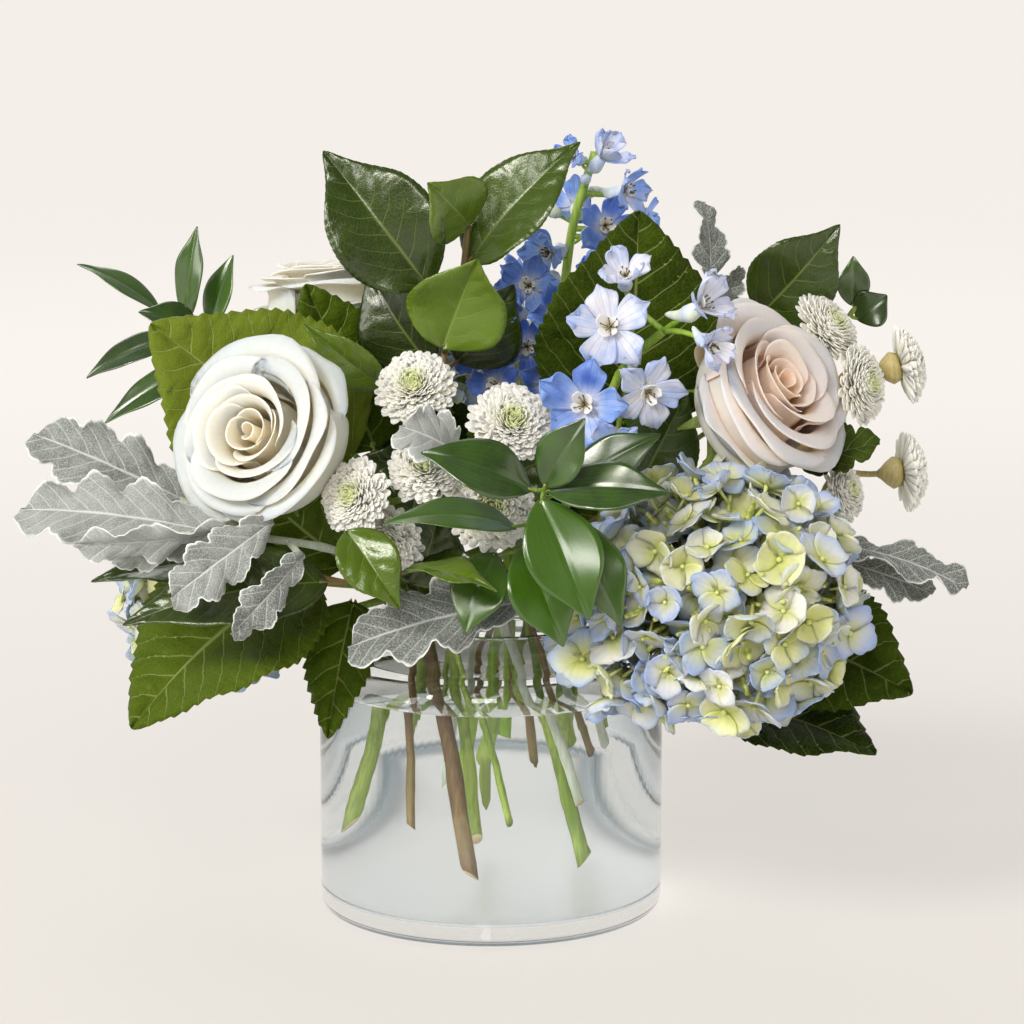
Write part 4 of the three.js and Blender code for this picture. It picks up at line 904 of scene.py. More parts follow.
def vase_and_water():
    """Clear bodies cast no shadow here, because the render's direct light doesn't bend through them."""
    for name, outline, finish, node, slot in (
            ("vase_glass", VASE_OUTLINE, "glass", "vase", "vase_glass"),
            ("vase_water", WATER_OUTLINE, "water", "water", "water")):
        piece = lathe(name, outline, finish)
        piece.visible_shadow = False
        settle(piece, node)


# ---- Stems ----
def ring_point(ring, lean, z):
    waist, spread = RINGS[ring]["waist"], RINGS[ring]["spread"]
    angle = math.radians(lean)
    return turned(-spread * (NECK_Z - z) / NECK_Z, waist, z, angle)


def through(points, per_span=12):
    """The centripetal curve through these points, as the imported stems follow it."""
    p = [np.array(q, float) for q in points]
    p = [2 * p[0] - p[1]] + p + [2 * p[-1] - p[-2]]
    made = []
    for a, b, c, d in zip(p, p[1:], p[2:], p[3:]):
        ga, gb, gc = (math.sqrt(np.linalg.norm(v)) for v in (b - a, c - b, d - c))
        leave = ((b - a) / ga - (c - a) / (ga + gb) + (c - b) / gb) * gb
        reach = ((c - b) / gb - (d - b) / (gb + gc) + (d - c) / gc) * gb
        for t in np.arange(per_span) / per_span:
            bend = 3 * (c - b) - 2 * leave - reach
            made.append(b + leave * t + bend * t ** 2 + (2 * (b - c) + leave + reach) * t ** 3)
    made.append(p[-2])
    return np.array(made)


def stem_path(name):
    ring, lean, foot, _, above = STEMS[name]
    below = [ring_point(ring, lean, z) for z in (foot, (foot + NECK_Z) / 2, NECK_Z, COLLAR_Z)]
    return through(below + above)


def shoot_root(name, target):
    """The point of a stem where a side shoot to the target leaves it: a little below the nearest point."""
    path = stem_path(name)
    bare = len(path) // 7 if name in HYDRANGEAS else 0
    path = path[:len(path) - bare]
    path = path[path[:, 2] > COLLAR_Z]
    cost = np.linalg.norm(path - target, axis=1) + 0.5 * np.maximum(0, path[:, 2] - target[2])
    return path[np.argmin(cost)]


STEM_FINISH = {
    "rose": "green_stem", "hydrangea": "green_stem", "delphinium": "bright_stem", "mum": "green_stem",
    "dusty": "grey_stem", "salal": "twig", "ruscus": "green_stem",
}
OWN_BARK = {"hydrangea_left": "woody_stem", "mum_right": "tan_stem"}
NODE_GAP = {"rose": 34, "hydrangea": 60, "delphinium": 90, "mum": 40, "dusty": 30, "salal": 26, "ruscus": 24}
STEM_GIRTH = 0.8
STEM_SIDES = 10
CUT_SLANT = 0.8


def stem(shape, name):
    """A stem from its slanting cut to its tip, slightly thicker at its leaf nodes and thinner upwards."""
    path = stem_path(name)
    radius = STEMS[name][3] * STEM_GIRTH
    gap = NODE_GAP[kind_of(name)]
    length = np.concatenate([[0], np.cumsum(np.linalg.norm(np.diff(path, axis=0), axis=1))])
    joint = np.exp(-((length % gap - gap / 2) / 2.4) ** 2)
    taper = 1 - 0.25 * length / length[-1]
    shape.tube(path, radius * (taper + 0.16 * joint), STEM_SIDES, end_slot=1)
    cut = shape.points[-1][:STEM_SIDES]
    knife = GOLDEN_ANGLE * list(STEMS).index(name)
    cut[:, 2] += CUT_SLANT * ((cut[:, :2] - path[0][:2]) @ [math.cos(knife), math.sin(knife)])


# ---- Leaves ----
BLADES = {
    "hydrangea": dict(skew=0.7, blunt=0.66, fold=0.08, wave=0.05, petiole=1.8, vein_gap=11.0, rake=0.7,
                      arch=0.2, quilt=1.9, teeth=4.6, tooth=2.0, lobes=0, ruffle=1.2, tip=0.3),
    "salal": dict(skew=0.75, blunt=0.8, fold=0.1, wave=0.05, petiole=1.0, vein_gap=9.0, rake=0.55, arch=0.75,
                  quilt=0.6, teeth=3.0, tooth=0.3, lobes=0, ruffle=1.0, tip=0.42),
    "ruscus": dict(skew=0.88, blunt=0.9, fold=0.05, wave=0.05, petiole=0.8, vein_gap=0, rake=0, arch=0,
                   quilt=0, teeth=0, tooth=0, lobes=0, ruffle=0.4, tip=0.25),
    "dusty": dict(skew=1.1, blunt=0.5, fold=0.06, wave=0.05, petiole=1.3, vein_gap=8.0, rake=0.9, arch=0.12,
                  quilt=0.8, teeth=0, tooth=0, lobes=4, ruffle=3.6, tip=0.0),
    "mum": dict(skew=0.9, blunt=0.7, fold=0.08, wave=0.04, petiole=1.0, vein_gap=7.0, rake=0.9, arch=0.12,
                quilt=0.4, teeth=0, tooth=0, lobes=3, ruffle=0.6, tip=0.1),
}
# Tints set for single leaves, by their order in LEAVES. High ones are partly a leaf's own yellower green and
# partly painted light, paler on leaves that stand lit; low and negative ones are painted shade, darker on
# leaves that stand in shade. Other leaves take a tint by chance.
LEAF_LIGHT_AND_SHADE = {0: 1.5, 1: 1.0, 2: 1.1, 4: 1.3, 11: 1.1, 12: 1.5, 13: 1.7, 15: 0.4, 16: 1.5, 21: 1.4, 22: 1.6,
               31: 0.9, 57: -0.3, 58: 1.0, 59: -0.5, 60: -0.5, 61: -0.8, 62: -0.8}
BLADE_COLUMNS = 18
PLAIN_ROWS = 44
BLADE_THICKNESS = 0.7
LOBE_SHIFT = 0.035
PETIOLE_STEPS = 9


def blade_rows(form, length):
    """Where the rows of a blade lie: three to a tooth, or evenly."""
    if not form["teeth"]:
        return np.linspace(0, 1, PLAIN_ROWS + 1)
    teeth = max(6, round(length / form["teeth"]))
    marks = np.add.outer(np.arange(teeth), [0.04, 0.5, 0.93]).ravel() / teeth
    return np.concatenate([[0], marks, [1]])


def half_width(form, t, half, length):
    body = np.sin(math.pi * np.clip(t, 0, 1) ** form["skew"]).clip(0) ** form["blunt"]
    body = body * (1 - form["tip"] * soft(t, 0.6, 0.95))
    if form["lobes"]:
        swing = np.abs(np.sin(math.pi * form["lobes"] * t))
        scallop = np.abs(np.sin(math.pi * form["lobes"] * 3 * t))
        body = body * (0.45 + 0.44 * swing ** 0.6 + 0.11 * scallop ** 0.7)
    wide = half * body + 0.3
    if form["teeth"]:
        teeth = max(6, round(length / form["teeth"]))
        wide = wide + form["tooth"] * ((t * teeth) % 1) * soft(body, 0.05, 0.4)
    return wide


def leaf(shape, row, order):
    """A blade with its ribs and waves, its stalk back to the stem, in slot 1, and the rib under it."""
    name, base, tip, width, facing, bow = row
    form = BLADES[kind_of(name)]
    rng = random.Random(order * 7 + 3)
    base, tip = np.array(base, float), np.array(tip, float)
    length = np.linalg.norm(tip - base)
    along = (tip - base) / length
    up = unit(np.array(facing, float) - along * np.dot(facing, along))
    side = np.cross(along, up)
    t = blade_rows(form, length)[:, None]
    s = np.linspace(-1, 1, BLADE_COLUMNS)[None, :]
    s = np.sign(s) * np.abs(s) ** 1.3
    half = width / 2
    shifted = np.clip(t + LOBE_SHIFT * np.sign(s), 0, 1) if form["lobes"] else t
    wide = half_width(form, shifted, half, length)
    body = wide / half
    ripple = form["wave"] * width * np.sin(2.2 * math.pi * t)
    rise = bow * 4 * t * (1 - t) + form["fold"] * 2 * wide * np.abs(s) ** 1.3 + ripple * s * body
    phase = rng.uniform(0, TURN)
    curl = form["ruffle"] * np.abs(s) ** 3 * np.sin(TURN * t * (length / 24) + phase + 1.5 * np.sign(s))
    rise = rise + curl * soft(body, 0.1, 0.5)
    swept = 0.3 * wide * np.abs(s) ** 1.5 if form["lobes"] else 0.0
    vein = s * 5.5
    if form["vein_gap"]:
        waver = 0.6 * np.sin(0.4 * np.abs(s) * wide + 0.25 * t * length + phase) * np.abs(s) ** 0.5
        run = t * length - form["rake"] * np.abs(s) * wide - form["arch"] * wide * np.abs(s) ** 2.5 + waver
        vein = run / form["vein_gap"] + 0.5 * (s > 0)
        inside = soft(np.abs(s), 0.02, 0.3) * (1 - soft(np.abs(s), 0.7, 1))
        rise = rise + form["quilt"] * (np.abs(np.sin(math.pi * vein)) ** 0.7 * inside)
    middle = base + along * (t * length + swept)[..., None]
    middle = middle + side * (s * wide)[..., None] + up * rise[..., None]
    off = np.abs(s) * wide
    thin = BLADE_THICKNESS / 2 * (1 - 0.6 * np.abs(s) ** 6) * (1 - 0.4 * soft(t, 0.9, 1.0))
    groove = 0.3 * np.exp(-(off / 0.8) ** 2)
    rib = form["petiole"] * 0.75 * np.exp(-(off / (form["petiole"] * 0.8)) ** 2) * (1 - t) ** 0.7
    uv = joined((s + 1) / 2, t)
    shape.sheet(middle, thin - groove, thin + rib, uv, vein, LEAF_LIGHT_AND_SHADE.get(order, rng.uniform(0.1, 0.9)))
    root = shoot_root(name, base)
    sag = (root + base) / 2 - UP * 0.06 * np.linalg.norm(base - root)
    inner = base + along * 0.04 * length + up * bow * 0.12
    if np.linalg.norm(inner - root) > 1:
        path = arc(root, sag, inner, np.linspace(0, 1, PETIOLE_STEPS)[:, None])
        shape.tube(path, np.linspace(1.25, 0.85, PETIOLE_STEPS) * form["petiole"], 7, slot=1)


def foliage(name, leaf_finish_name, node=None):
    """A leafy stem as two pieces: its blades, and its stalks with the stem."""
    bark = STEM_FINISH[kind_of(name)]
    stalks = Shape([OWN_BARK.get(name, bark), "cut_end"])
    stem(stalks, name)
    blades = Shape([leaf_finish_name, bark])
    for order, row in enumerate(LEAVES):
        if row[0] == name:
            leaf(blades, row, order)
    node = node or name
    if blades.points:
        settle(blades.made(name + "_leaves"), node)
    return stalks, node


# ---- Roses ----
# Rings of petals from the outside to the heart: how many. As shares of the bloom's radius: the bowl's radius,
# its height, and the length of the lip above it. In degrees: how far the lip leans in, how far it then rolls
# out, and each petal's half-angle.
ROSE_RINGS = [
    (2, 0.88, 0.30, 0.42, -6, 120, 50), (3, 0.90, 0.50, 0.54, 14, 118, 70),
    (3, 0.78, 0.56, 0.56, 16, 104, 74), (3, 0.64, 0.60, 0.56, 15, 86, 78),
    (3, 0.49, 0.64, 0.52, 13, 66, 82), (3, 0.34, 0.68, 0.44, 10, 46, 88),
    (2, 0.20, 0.70, 0.38, 7, 28, 120), (1, 0.09, 0.70, 0.34, 2, 10, 170),
]
PETAL_ROWS = 22
PETAL_COLUMNS = 25
BOWL_SHARE = 0.55


def rose_petal(shape, place, radius, ring, count_rings, data, angle, rng):
    """One broad petal: a bowl, then a lip that leans in and rolls out to a soft point, most at its sides. One
    side of it is tucked under its neighbour."""
    _, belly, bowl, neck, lean, roll, spread = data
    a = np.linspace(-1, 1, PETAL_COLUMNS)[None, :]
    b = np.linspace(0, 1, PETAL_ROWS)[:, None] ** 0.85
    share = ring / (count_rings - 1)
    belly = belly * rng.uniform(0.96, 1.04)
    neck = neck * rng.uniform(0.9, 1.12)
    peak = rng.uniform(0.0, 0.09) * (1 - share) * np.exp(-((a - rng.uniform(-0.4, 0.4)) / 0.2) ** 2)
    wavy = 0.02 * np.sin(2.8 * a + rng.uniform(0, 6)) + 0.006 * np.sin(9 * a + rng.uniform(0, 6))
    t = b * (1 + peak + wavy - 0.05 * a ** 2 - 0.2 * np.abs(a) ** 6)
    foot = 0.2 * (1 - share) + 0.02
    climb = np.clip(t / BOWL_SHARE, 0, 1) * math.pi / 2
    w = np.clip((t - BOWL_SHARE) / (1 - BOWL_SHARE), 0, None)
    side_roll = rng.uniform(0.75, 1.0) + 0.4 * np.abs(a - rng.uniform(-0.3, 0.3)) ** 1.5
    heading = 90 + lean * soft(w, 0, 0.4) - (lean + roll * side_roll) * soft(w, 0.3, 1.0)
    step = np.diff(w, axis=0, prepend=0.0) * neck
    r = foot + (belly - foot) * np.sin(climb) + np.cumsum(step * np.cos(np.radians(heading)), axis=0)
    z = bowl * (1 - np.cos(climb)) + np.cumsum(step * np.sin(np.radians(heading)), axis=0)
    r = r * (1 + 0.12 * a) + 0.02 * np.sin(3 * a + 4 * t + rng.uniform(0, 6)) * w
    opened = 0.6 + 0.4 * np.sin(math.pi / 2 * np.clip(t / 0.6, 0, 1))
    phi = angle + a * math.radians(spread * rng.uniform(0.94, 1.08)) * opened
    shift = 0.04 * (1 - share) * np.array([rng.uniform(-1, 1), rng.uniform(-1, 1), 0.0])
    local = (np.stack([r * np.cos(phi), r * np.sin(phi), z], -1) + shift * t[..., None]) * radius
    thin = 0.28 * (1.6 - b) * (1 - 0.5 * np.abs(a) ** 6)
    uv = joined((a + 1) / 2, b)
    shape.sheet(place(local), thin, thin, uv, a * 9, share)


def rose(name, finish):
    data = ROSES[name]
    axes = axes_for(data["facing"], math.radians(data["turn"]))
    base = np.array(data["base"], float)
    rng = random.Random(data["turn"])

    def place(local):
        return base + local @ axes

    bloom = Shape([finish])
    for ring, row in enumerate(ROSE_RINGS):
        for k in range(row[0]):
            angle = TURN * (k + rng.uniform(-0.08, 0.08)) / row[0] + ring * 0.42 * TURN
            rose_petal(bloom, place, data["radius"], ring, len(ROSE_RINGS), row, angle, rng)
    settle(bloom.made(name + "_petals"), name + "_bloom")

    stalks, node = foliage(name, "mum_leaf", name + "_stem")
    axis = axes[2]
    tip = stem_path(name)[-1]
    neck = through([stem_path(name)[-2], tip, base - 9 * axis, base - 2 * axis], 5)
    stalks.tube(neck, STEMS[name][3] * np.linspace(0.78, 0.85, len(neck)), 10)
    cup_path = [base + axis * h for h in (-12.5, -11, -8, -5, -2, 1, 2)]
    stalks.tube(cup_path, [2.6, 4.2, 6.4, 7.0, 7.4, 8.0, 5.0], 14)
    for k in range(5):
        out = TURN * k / 5
        wave = rng.uniform(0.8, 1.2)
        s, t = petal_grid(10, 5)
        reach = 6 + 17 * t * wave
        drop = -3 - 13 * t ** 1.5 * wave + 3 * np.sin(3 * t)
        wide = 4.2 * (1 - t) ** 0.8 * (0.7 + 0.9 * t) + 0.25
        local = turned(reach, s * wide, drop + 1.2 * s ** 2, out)
        stalks.sheet(place(local), 0.35, 0.35, joined((s + 1) / 2, t), s * 2, 0.5)
    settle(stalks.made(name + "_stalk"), node)


# ---- Repeats grown by a rule ----
DOME_INPUTS = {
    "Pieces": "NodeSocketCollection", "Finish": "NodeSocketMaterial", "Bead finish": "NodeSocketMaterial",
    "Count": "NodeSocketInt", "Seed": "NodeSocketInt", "Reach": "NodeSocketFloat",
    "Centre": "NodeSocketVector", "Facing": "NodeSocketVector", "Half sizes": "NodeSocketVector",
    "Unevenness": "NodeSocketFloat", "Heart size": "NodeSocketFloat", "Rim size": "NodeSocketFloat",
    "Spread of size": "NodeSocketFloat", "Tilt": "NodeSocketFloat", "Spin": "NodeSocketFloat",
}


def dome_tree():
    """Pieces spread over a dome at the golden angle, each looking out from it, its +Y towards the pole."""
    tree = bpy.data.node_groups.new("pieces_on_a_dome", "GeometryNodeTree")
    for name, kind in DOME_INPUTS.items():
        tree.interface.new_socket(name, in_out="INPUT", socket_type=kind)
    tree.interface.new_socket("Geometry", in_out="OUTPUT", socket_type="NodeSocketGeometry")
    given = add(tree, "NodeGroupInput").outputs
    order = add(tree, "GeometryNodeInputIndex")
    own = add(tree, TIMES_PLUS, [given["Seed"], 1000.0, order])

    def luck(low, high, draw):
        return add(tree, "FunctionNodeRandomValue", [low, high, own, draw], data_type="FLOAT")

    def vary(amount, draw):
        return add(tree, TIMES, [luck(-1.0, 1.0, draw), given[amount]])

    share = add(tree, OVER, [add(tree, PLUS, [order, 0.5]), given["Count"]])
    drop = add(tree, TIMES, [share, given["Reach"]])
    height = add(tree, MINUS, [1.0, drop])
    square = add(tree, TIMES, [height, height])
    ring = add(tree, MATH, [add(tree, MINUS, [1.0, square])], operation="SQRT")
    angle = add(tree, TIMES_PLUS, [order, GOLDEN_ANGLE, luck(-0.12, 0.12, 1)])
    east = add(tree, TIMES, [ring, add(tree, MATH, [angle], operation="COSINE")])
    north = add(tree, TIMES, [ring, add(tree, MATH, [angle], operation="SINE")])
    local = add(tree, "ShaderNodeCombineXYZ", [east, north, height])
    facing = add(tree, "FunctionNodeAlignRotationToVector", {"Vector": given["Facing"]}, axis="Z")
    outward = add(tree, "FunctionNodeRotateVector", [local, facing])
    reach = add(tree, VECTOR, [outward, given["Half sizes"]], operation="MULTIPLY")
    swell = add(tree, PLUS, [vary("Unevenness", 2), 1.0])
    swollen = add(tree, VECTOR, [reach, swell], operation="SCALE")
    place = add(tree, VECTOR, [swollen, given["Centre"]], operation="ADD")
    points = add(tree, "GeometryNodePoints", {"Count": given["Count"], "Position": place})
    upright = add(tree, "FunctionNodeAlignRotationToVector", {"Vector": outward}, axis="Z")
    towards = add(tree, "FunctionNodeAlignRotationToVector", {"Rotation": upright, "Vector": given["Facing"]},
                  axis="Y", pivot_axis="Z")
    lean = add(tree, "ShaderNodeCombineXYZ", [vary("Tilt", 3), vary("Tilt", 4), vary("Spin", 5)])
    posed = add(tree, "FunctionNodeRotateRotation",
                [towards, add(tree, "FunctionNodeEulerToRotation", [lean])], rotation_space="LOCAL")
    grade = add(tree, MIX, [share, given["Heart size"], given["Rim size"]], data_type="FLOAT")
    size = add(tree, TIMES, [grade, add(tree, PLUS, [vary("Spread of size", 6), 1.0])])
    known = add(tree, "ShaderNodeCombineXYZ", [share, luck(0.0, 1.0, 7), luck(0.0, 1.0, 8)])
    marked = add(tree, "GeometryNodeStoreNamedAttribute",
                 {"Geometry": points, "Name": "floret", "Value": known}, data_type="FLOAT_VECTOR")
    pieces = add(tree, "GeometryNodeCollectionInfo",
                 {"Collection": given["Pieces"], "Separate Children": True, "Reset Children": True})
    placed = add(tree, "GeometryNodeInstanceOnPoints", {
        "Points": marked, "Instance": pieces, "Pick Instance": True, "Rotation": posed, "Scale": size})
    real = add(tree, "GeometryNodeRealizeInstances", {"Geometry": placed})
    dressed = add(tree, "GeometryNodeSetMaterial", {"Geometry": real, "Material": given["Finish"]})
    bead = add(tree, "GeometryNodeInputNamedAttribute", {"Name": "bead"}, data_type="BOOLEAN")
    both = add(tree, "GeometryNodeSetMaterial",
               {"Geometry": dressed, "Selection": bead, "Material": given["Bead finish"]})
    add(tree, "NodeGroupOutput", {"Geometry": both})
    return tree


def grown(name, tree, **values):
    """The plain mesh that the tree makes of these values, as an object at the origin."""
    host = stand(name, bpy.data.meshes.new(name))
    modifier = host.modifiers.new("grow", "NODES")
    modifier.node_group = tree
    for item in tree.interface.items_tree:
        if item.in_out == "INPUT":
            modifier[item.identifier] = values[item.name.replace(" ", "_")]
    graph = bpy.context.evaluated_depsgraph_get()
    mesh = bpy.data.meshes.new_from_object(host.evaluated_get(graph), preserve_all_data_layers=True,
                                           depsgraph=graph)
    host.modifiers.clear()
    host.data = mesh
    mesh.name = name
    mesh.polygons.foreach_set("use_smooth", [True] * len(mesh.polygons))
    return host


def set_aside(name, objects):
    """A collection of the pieces that a tree repeats, which stay out of the scene."""
    group = bpy.data.collections.new(name)
    for made in objects:
        bpy.context.scene.collection.objects.unlink(made)
        group.objects.link(made)
    return group


def clear_away(group):
    for made in list(group.objects):
        bpy.data.objects.remove(made)
    bpy.data.collections.remove(group)


def mark_bead(made, first_point):
    """Marks the faces whose points come after the petals, so that the tree gives them their own finish."""
    mark = made.data.attributes.new("bead", "BOOLEAN", "FACE")
    mark.data.foreach_set("value", [min(face.vertices) >= first_point for face in made.data.polygons])
    return made


# ---- Hydrangea heads ----
SEPAL_LENGTH = 13.5
SEPAL_WIDTH = 14.0
FLORET_KINDS = 6
DOME_REACH = 1.72
LOW_CENTRE = (58.0, -84.0, 132.0)
LOW_FLORETS = 26
HEAD_FLORETS = {"hydrangea_right": 132, "hydrangea_left": 66, "hydrangea_back": 78}


def hydrangea_floret(order):
    """Four broad round sepals about a bead, facing +Z: spread wide on an open floret, lifted on others."""
    rng = random.Random(order + 40)
    shape = Shape(["hydrangea_sepal"])
    s, t = petal_grid(7, 7)
    lift = (0.35, 1.3, 0.7, 1.0, 0.5, 1.6)[order % FLORET_KINDS]
    for petal in range(4):
        angle = TURN * petal / 4 + rng.uniform(-0.2, 0.2)
        length = SEPAL_LENGTH * rng.uniform(0.85, 1.1) * (1 - 0.12 * lift)
        bend = lift * rng.uniform(0.75, 1.25)
        wide = SEPAL_WIDTH / 2 * rng.uniform(0.88, 1.08) * np.sqrt(1 - ((t - 0.56) / 0.59) ** 2)
        run = t - 0.26 * s ** 2 * t ** 3
        r = 0.7 + length * np.sin(bend * run) / bend
        z = length * (1 - np.cos(bend * run)) / bend - rng.uniform(0.0, 0.16) * length * t ** 4
        z = z + rng.uniform(-0.01, 0.055) * (s * wide) ** 2 + 0.5 * (petal % 2) + 0.7 * s * rng.uniform(-1, 1)
        z = z + 0.3 * np.sin(4 * s + rng.uniform(0, 6)) * t ** 2
        shape.sheet(turned(r, s * wide, z, angle), 0.2, 0.2, joined((s + 1) / 2, t), s * 2.5 + 0.5 * t,
                    rng.random())
    petals = shape.count
    shape.tube([(0, 0, z) for z in (-7.0, 0.4, 1.3, 2.1)], [0.6, 0.9, 1.15, 0.4], 6)
    return mark_bead(shape.made(f"floret_{order}"), petals)


def hydrangea_head(name, tree, florets):
    """Florets over the dome, a second layer under them, and the crowded stalks and buds that carry them."""
    data = HYDRANGEAS[name]
    half = np.array(data["size"], float)
    centre = np.array(data["centre"], float)
    count = HEAD_FLORETS[name]
    common = {
        "Pieces": florets, "Finish": FINISHES["hydrangea_sepal"], "Bead_finish": FINISHES["hydrangea_bead"],
        "Facing": data["facing"], "Spin": 3.0, "Tilt": 0.8, "Heart_size": 1.0, "Rim_size": 0.9,
        "Spread_of_size": 0.16, "Unevenness": 0.1,
    }
    layers = [("florets", count, 0.9, DOME_REACH, centre),
              ("under_florets", round(count * 0.6), 0.74, DOME_REACH, centre)]
    if name == "hydrangea_right":
        layers.append(("low_florets", LOW_FLORETS, 0.45, 1.6, np.array(LOW_CENTRE)))
    for layer, number, share, reach, middle in layers:
        settle(grown(f"{name}_{layer}", tree, Count=number, Seed=number, Half_sizes=list(half * share * MM),
                     Centre=list(middle * MM), Reach=reach, **common), name + "_head")
    stalks = Shape(["head_core"])
    axes = axes_for(data["facing"])
    rng = random.Random(count)
    for k in range(2 * count):
        height = 1 - DOME_REACH * (k + 0.5) / (2 * count)
        ring = math.sqrt(1 - height * height)
        angle = k * GOLDEN_ANGLE
        out = np.array([ring * math.cos(angle), ring * math.sin(angle), height]) @ axes
        side = np.array([rng.uniform(-1, 1) for _ in range(3)])
        tip = rng.uniform(0.78, 0.95)
        path = through([centre - out * half * 0.1, centre + out * half * 0.5 + 3 * side,
                        centre + out * half * tip], 3)
        radii = np.linspace(2.6, 0.8, len(path))
        if not k % 2:
            radii[-2:] = (1.7, 1.1)
        stalks.tube(path, radii, 5)
    settle(stalks.made(name + "_inner_stalks"), name + "_head")


# ---- Button chrysanthemums ----
RAY_LENGTH = 16.0
RAYS = 330
RAY_KINDS = 3
CUP_DEPTH = 7.0
SIDE_STALK_STEPS = 12


def ray_petal(order):
    """A plump round-tipped petal along +Z that curls over to +Y, a millimetre and a half from the middle."""
    rng = random.Random(order + 70)
    shape = Shape(["ray"])
    s = np.linspace(-1, 1, 4)[None, :]
    t = np.array([0, 0.4, 0.7, 0.87, 0.96, 1.0])[:, None]
    tip = np.clip((t - 0.75) / 0.25, 0, 1)
    wide = 1.95 * (0.45 + 0.55 * np.sin(math.pi / 2 * np.clip(t / 0.8, 0, 1))) * np.sqrt(1 - 0.9 * tip ** 2)
    bend = rng.uniform(0.7, 1.0)
    y = bend * 2.6 * t ** 2.2 + 0.16 * (s * wide) ** 2
    z = 1.5 + (RAY_LENGTH - 1.5) * t + 0 * s
    plump = 0.42 * (1 - 0.6 * s ** 2) * (1 - 0.5 * tip ** 2)
    shape.sheet(joined(s * wide, y, z), plump, plump, joined((s + 1) / 2, t), s * 1.6, rng.random())
    return mark_bead(shape.made(f"ray_{order}"), shape.count)


def mum_head(order, tree, rays, cups):
    """A button of rays, longest at its rim, on a green cup and its stalk."""
    spray, back, facing, radius = MUMS[order]
    facing = unit(np.array(facing, float))
    back = np.array(back, float)
    node = f"mum_head_{order + 1}"
    full = radius / RAY_LENGTH
    settle(grown(node + "_rays", tree, Pieces=rays, Finish=FINISHES["ray"], Bead_finish=FINISHES["ray"],
                 Count=RAYS, Seed=order + 5, Reach=1.06, Centre=list((back + facing * radius * 0.2) * MM),
                 Facing=list(facing), Half_sizes=[radius * 0.05 * MM] * 3, Unevenness=0.1,
                 Heart_size=0.5 * full, Rim_size=full, Spread_of_size=0.04, Tilt=0.05, Spin=0.08),
           node)
    root = shoot_root(spray, back - facing * CUP_DEPTH)
    cups.tube([back + facing * h for h in (-CUP_DEPTH - 0.5, -CUP_DEPTH + 1, -3.5, -0.5, 2.5)],
              [1.5, 2.6, 5.0, 7.2, 6.0], 12)
    side_stalk(cups, root, back - facing * CUP_DEPTH, facing, 1.6, 1.3, 8)


def side_stalk(stalks, root, end, facing, first, last, sides):
    """A stalk that leaves its stem sideways and turns into the way its flower faces."""
    middle = end - facing * np.linalg.norm(end - root) * 0.45
    path = arc(root, middle, end, np.linspace(0, 1, SIDE_STALK_STEPS)[:, None])
    stalks.tube(path, np.linspace(first, last, SIDE_STALK_STEPS), sides)


# ---- Delphinium ----
SPUR_RADIUS = 16
BUDS = 9
BEE, SPUR, ANTHER = 1, 2, 3  # slots after the sepals' own


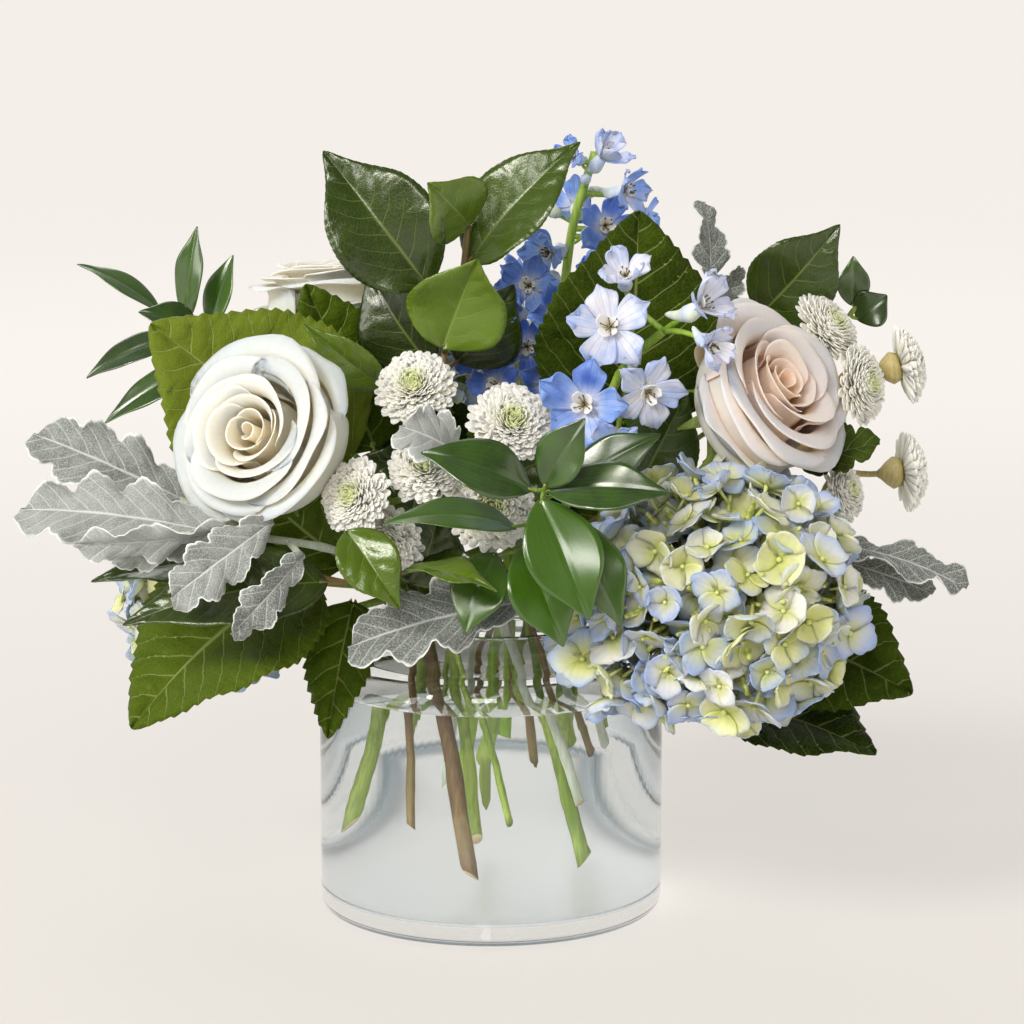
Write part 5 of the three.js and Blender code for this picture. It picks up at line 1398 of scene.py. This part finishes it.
def delphinium_floret(petals, stalks, order):
    """Five silky ruffled sepals, the outer whorl with its spur behind, a small pale eye and dark anthers."""
    spire, middle, facing, radius, blue_and_shade = DELPHINIUM_FLORETS[order]
    rng = random.Random(order + 300)
    facing = unit(np.array(facing, float))
    axes = axes_for(facing, rng.uniform(0, TURN))
    away = axes[2]
    centre = np.array(middle, float) - away * radius * 0.3
    s, t = petal_grid(12, 13)
    t = 1 - (1 - t) ** 1.4
    closed = 0.34 if facing[1] < -0.85 else 0.8
    for petal in range(5):
        tint = blue_and_shade + rng.uniform(-0.1, 0.2)
        angle = TURN * petal / 5 + rng.uniform(-0.16, 0.16)
        length = radius * rng.uniform(0.95, 1.12)
        tip = np.clip((t - 0.62) / 0.38, 0, 1)
        wide = 0.335 * length * (0.3 + 0.7 * np.sin(math.pi / 2 * np.clip(t / 0.62, 0, 1))) \
            * np.sqrt(1 - 0.9 * tip ** 2)
        cup = closed * rng.uniform(0.6, 1.3)
        run = t - 0.3 * s ** 2 * t ** 4 + 0.03 * np.sin(7 * s + rng.uniform(0, 6)) * t ** 3
        r = 0.05 * radius + length * run * (1 - 0.45 * cup * t)
        z = cup * length * t ** 1.2 - rng.uniform(0.05, 0.35) * length * t ** 4
        z = z + 0.025 * (s * wide) ** 2 * rng.uniform(-0.3, 1.6) + 0.04 * radius * (petal % 2)
        z = z + 0.12 * length * np.sin(3.5 * s + 4 * t + rng.uniform(0, 6)) * t ** 1.5 * np.abs(s)
        z = z + 0.03 * length * np.sin(10 * s + rng.uniform(0, 6)) * t ** 3
        local = turned(r, s * wide, z, angle)
        petals.sheet(centre + local @ axes, 0.16, 0.16, joined((s + 1) / 2, t), s * 2.5 + 0.3 * t, tint)
    for petal in range(4):
        angle = TURN * (petal + 0.5) / 4 + rng.uniform(-0.3, 0.3)
        small = radius * rng.uniform(0.22, 0.32)
        wide = 0.42 * small * np.sin(math.pi * (0.1 + 0.8 * t)) ** 0.6
        r = 0.04 * radius + small * t * 0.7
        z = small * (0.25 + 0.9 * t) + 0.06 * (s * wide) ** 2
        local = turned(r, s * wide, z, angle)
        petals.sheet(centre + local @ axes, 0.15, 0.15, joined((s + 1) / 2, t), s, 0.5, BEE)
    for k in range(6):
        angle = TURN * k / 6 + rng.uniform(-0.3, 0.3)
        lean = rng.uniform(0.08, 0.2) * radius
        tip = centre + np.array([lean * math.cos(angle), lean * math.sin(angle), radius * 0.3]) @ axes
        petals.tube([centre + away * radius * 0.05, tip - away, tip, tip + away * 0.8],
                    [0.15, 0.15, 0.42, 0.25], 5, slot=ANTHER)
    up = UP * radius
    reach = 1.1 if radius > SPUR_RADIUS or facing[0] > 0.7 else 0.8
    spur = through([centre + away * radius * 0.05, centre - away * radius * 0.4,
                    centre - away * radius * (0.3 + 0.4 * reach) + up * 0.1 * reach,
                    centre - away * radius * 1.05 * reach + up * 0.3 * reach], 4)
    girth = np.interp(np.linspace(0, 1, len(spur)), [0, 0.3, 0.6, 0.93, 1], [0.16, 0.24, 0.15, 0.08, 0.03])
    petals.tube(spur, radius * girth, 9, blue_and_shade, SPUR)
    behind = centre - away * radius * 0.4
    side_stalk(stalks, shoot_root(spire, behind), behind, away, 1.4, 1.0, 7)


def delphinium_buds(petals, stalks, spire):
    """The unopened buds at the top of a spire, smaller towards its tip."""
    path = stem_path(spire)
    rng = random.Random(len(path) + 1)
    for k in range(BUDS):
        at = path[-1 - 3 * k]
        angle = k * GOLDEN_ANGLE
        out = unit(np.array([math.cos(angle), math.sin(angle), 0.5]))
        size = 2.0 + 0.25 * k
        end = at + out * (5 + 0.6 * k)
        stalks.tube(through([at, at + out * 2.5 - UP, end], 3), 0.7, 6)
        petals.tube([end + out * h * size for h in (-0.4, 0.2, 1.0, 1.9, 2.5)],
                    np.array([0.4, 0.85, 1.0, 0.6, 0.12]) * size, 8, rng.random(), SPUR)


def delphinium(spire):
    petals = Shape(["larkspur", "bee", "spur", "anther"])
    stalks = Shape(["bright_stem", "cut_end"])
    stem(stalks, spire)
    for order, row in enumerate(DELPHINIUM_FLORETS):
        if row[0] == spire:
            delphinium_floret(petals, stalks, order)
    if spire == "delphinium_tall":
        delphinium_buds(petals, stalks, spire)
    settle(petals.made(spire + "_florets"), spire)
    settle(stalks.made(spire + "_stalks"), spire)


# ---- The bouquet ----
def hydrangeas(tree):
    florets = set_aside("florets", [hydrangea_floret(k) for k in range(FLORET_KINDS)])
    for name in HYDRANGEAS:
        hydrangea_head(name, tree, florets)
        stalks, node = foliage(name, "hydrangea_leaf", name + "_stem")
        tip = stem_path(name)[-1]
        centre = np.array(HYDRANGEAS[name]["centre"], float)
        path = through([tip, (tip + centre) / 2, centre], 4)
        stalks.tube(path, np.linspace(3.2, 5.0, len(path)), 10)
        settle(stalks.made(name + "_stalks"), node)
    clear_away(florets)


def mums(tree):
    rays = set_aside("rays", [ray_petal(k) for k in range(RAY_KINDS)])
    for spray in ("mum_left", "mum_right"):
        cups, node = foliage(spray, "mum_leaf", spray + "_stem")
        for order, row in enumerate(MUMS):
            if row[0] == spray:
                mum_head(order, tree, rays, cups)
        settle(cups.made(spray + "_stalks"), node)
    clear_away(rays)


def greenery():
    for name in STEMS:
        kind = kind_of(name)
        if kind in ("salal", "ruscus", "dusty"):
            stalks, node = foliage(name, kind + "_leaf")
            settle(stalks.made(name + "_stem"), node)


def bouquet():
    camera()
    finishes()
    studio()
    vase_and_water()
    tree = dome_tree()
    hydrangeas(tree)
    mums(tree)
    for name, finish in (("rose_left", "ivory"), ("rose_right", "blush"), ("rose_back", "ivory")):
        rose(name, finish)
    for spire in ("delphinium_tall", "delphinium_front"):
        delphinium(spire)
    greenery()
    bpy.data.node_groups.remove(tree)


bouquet()
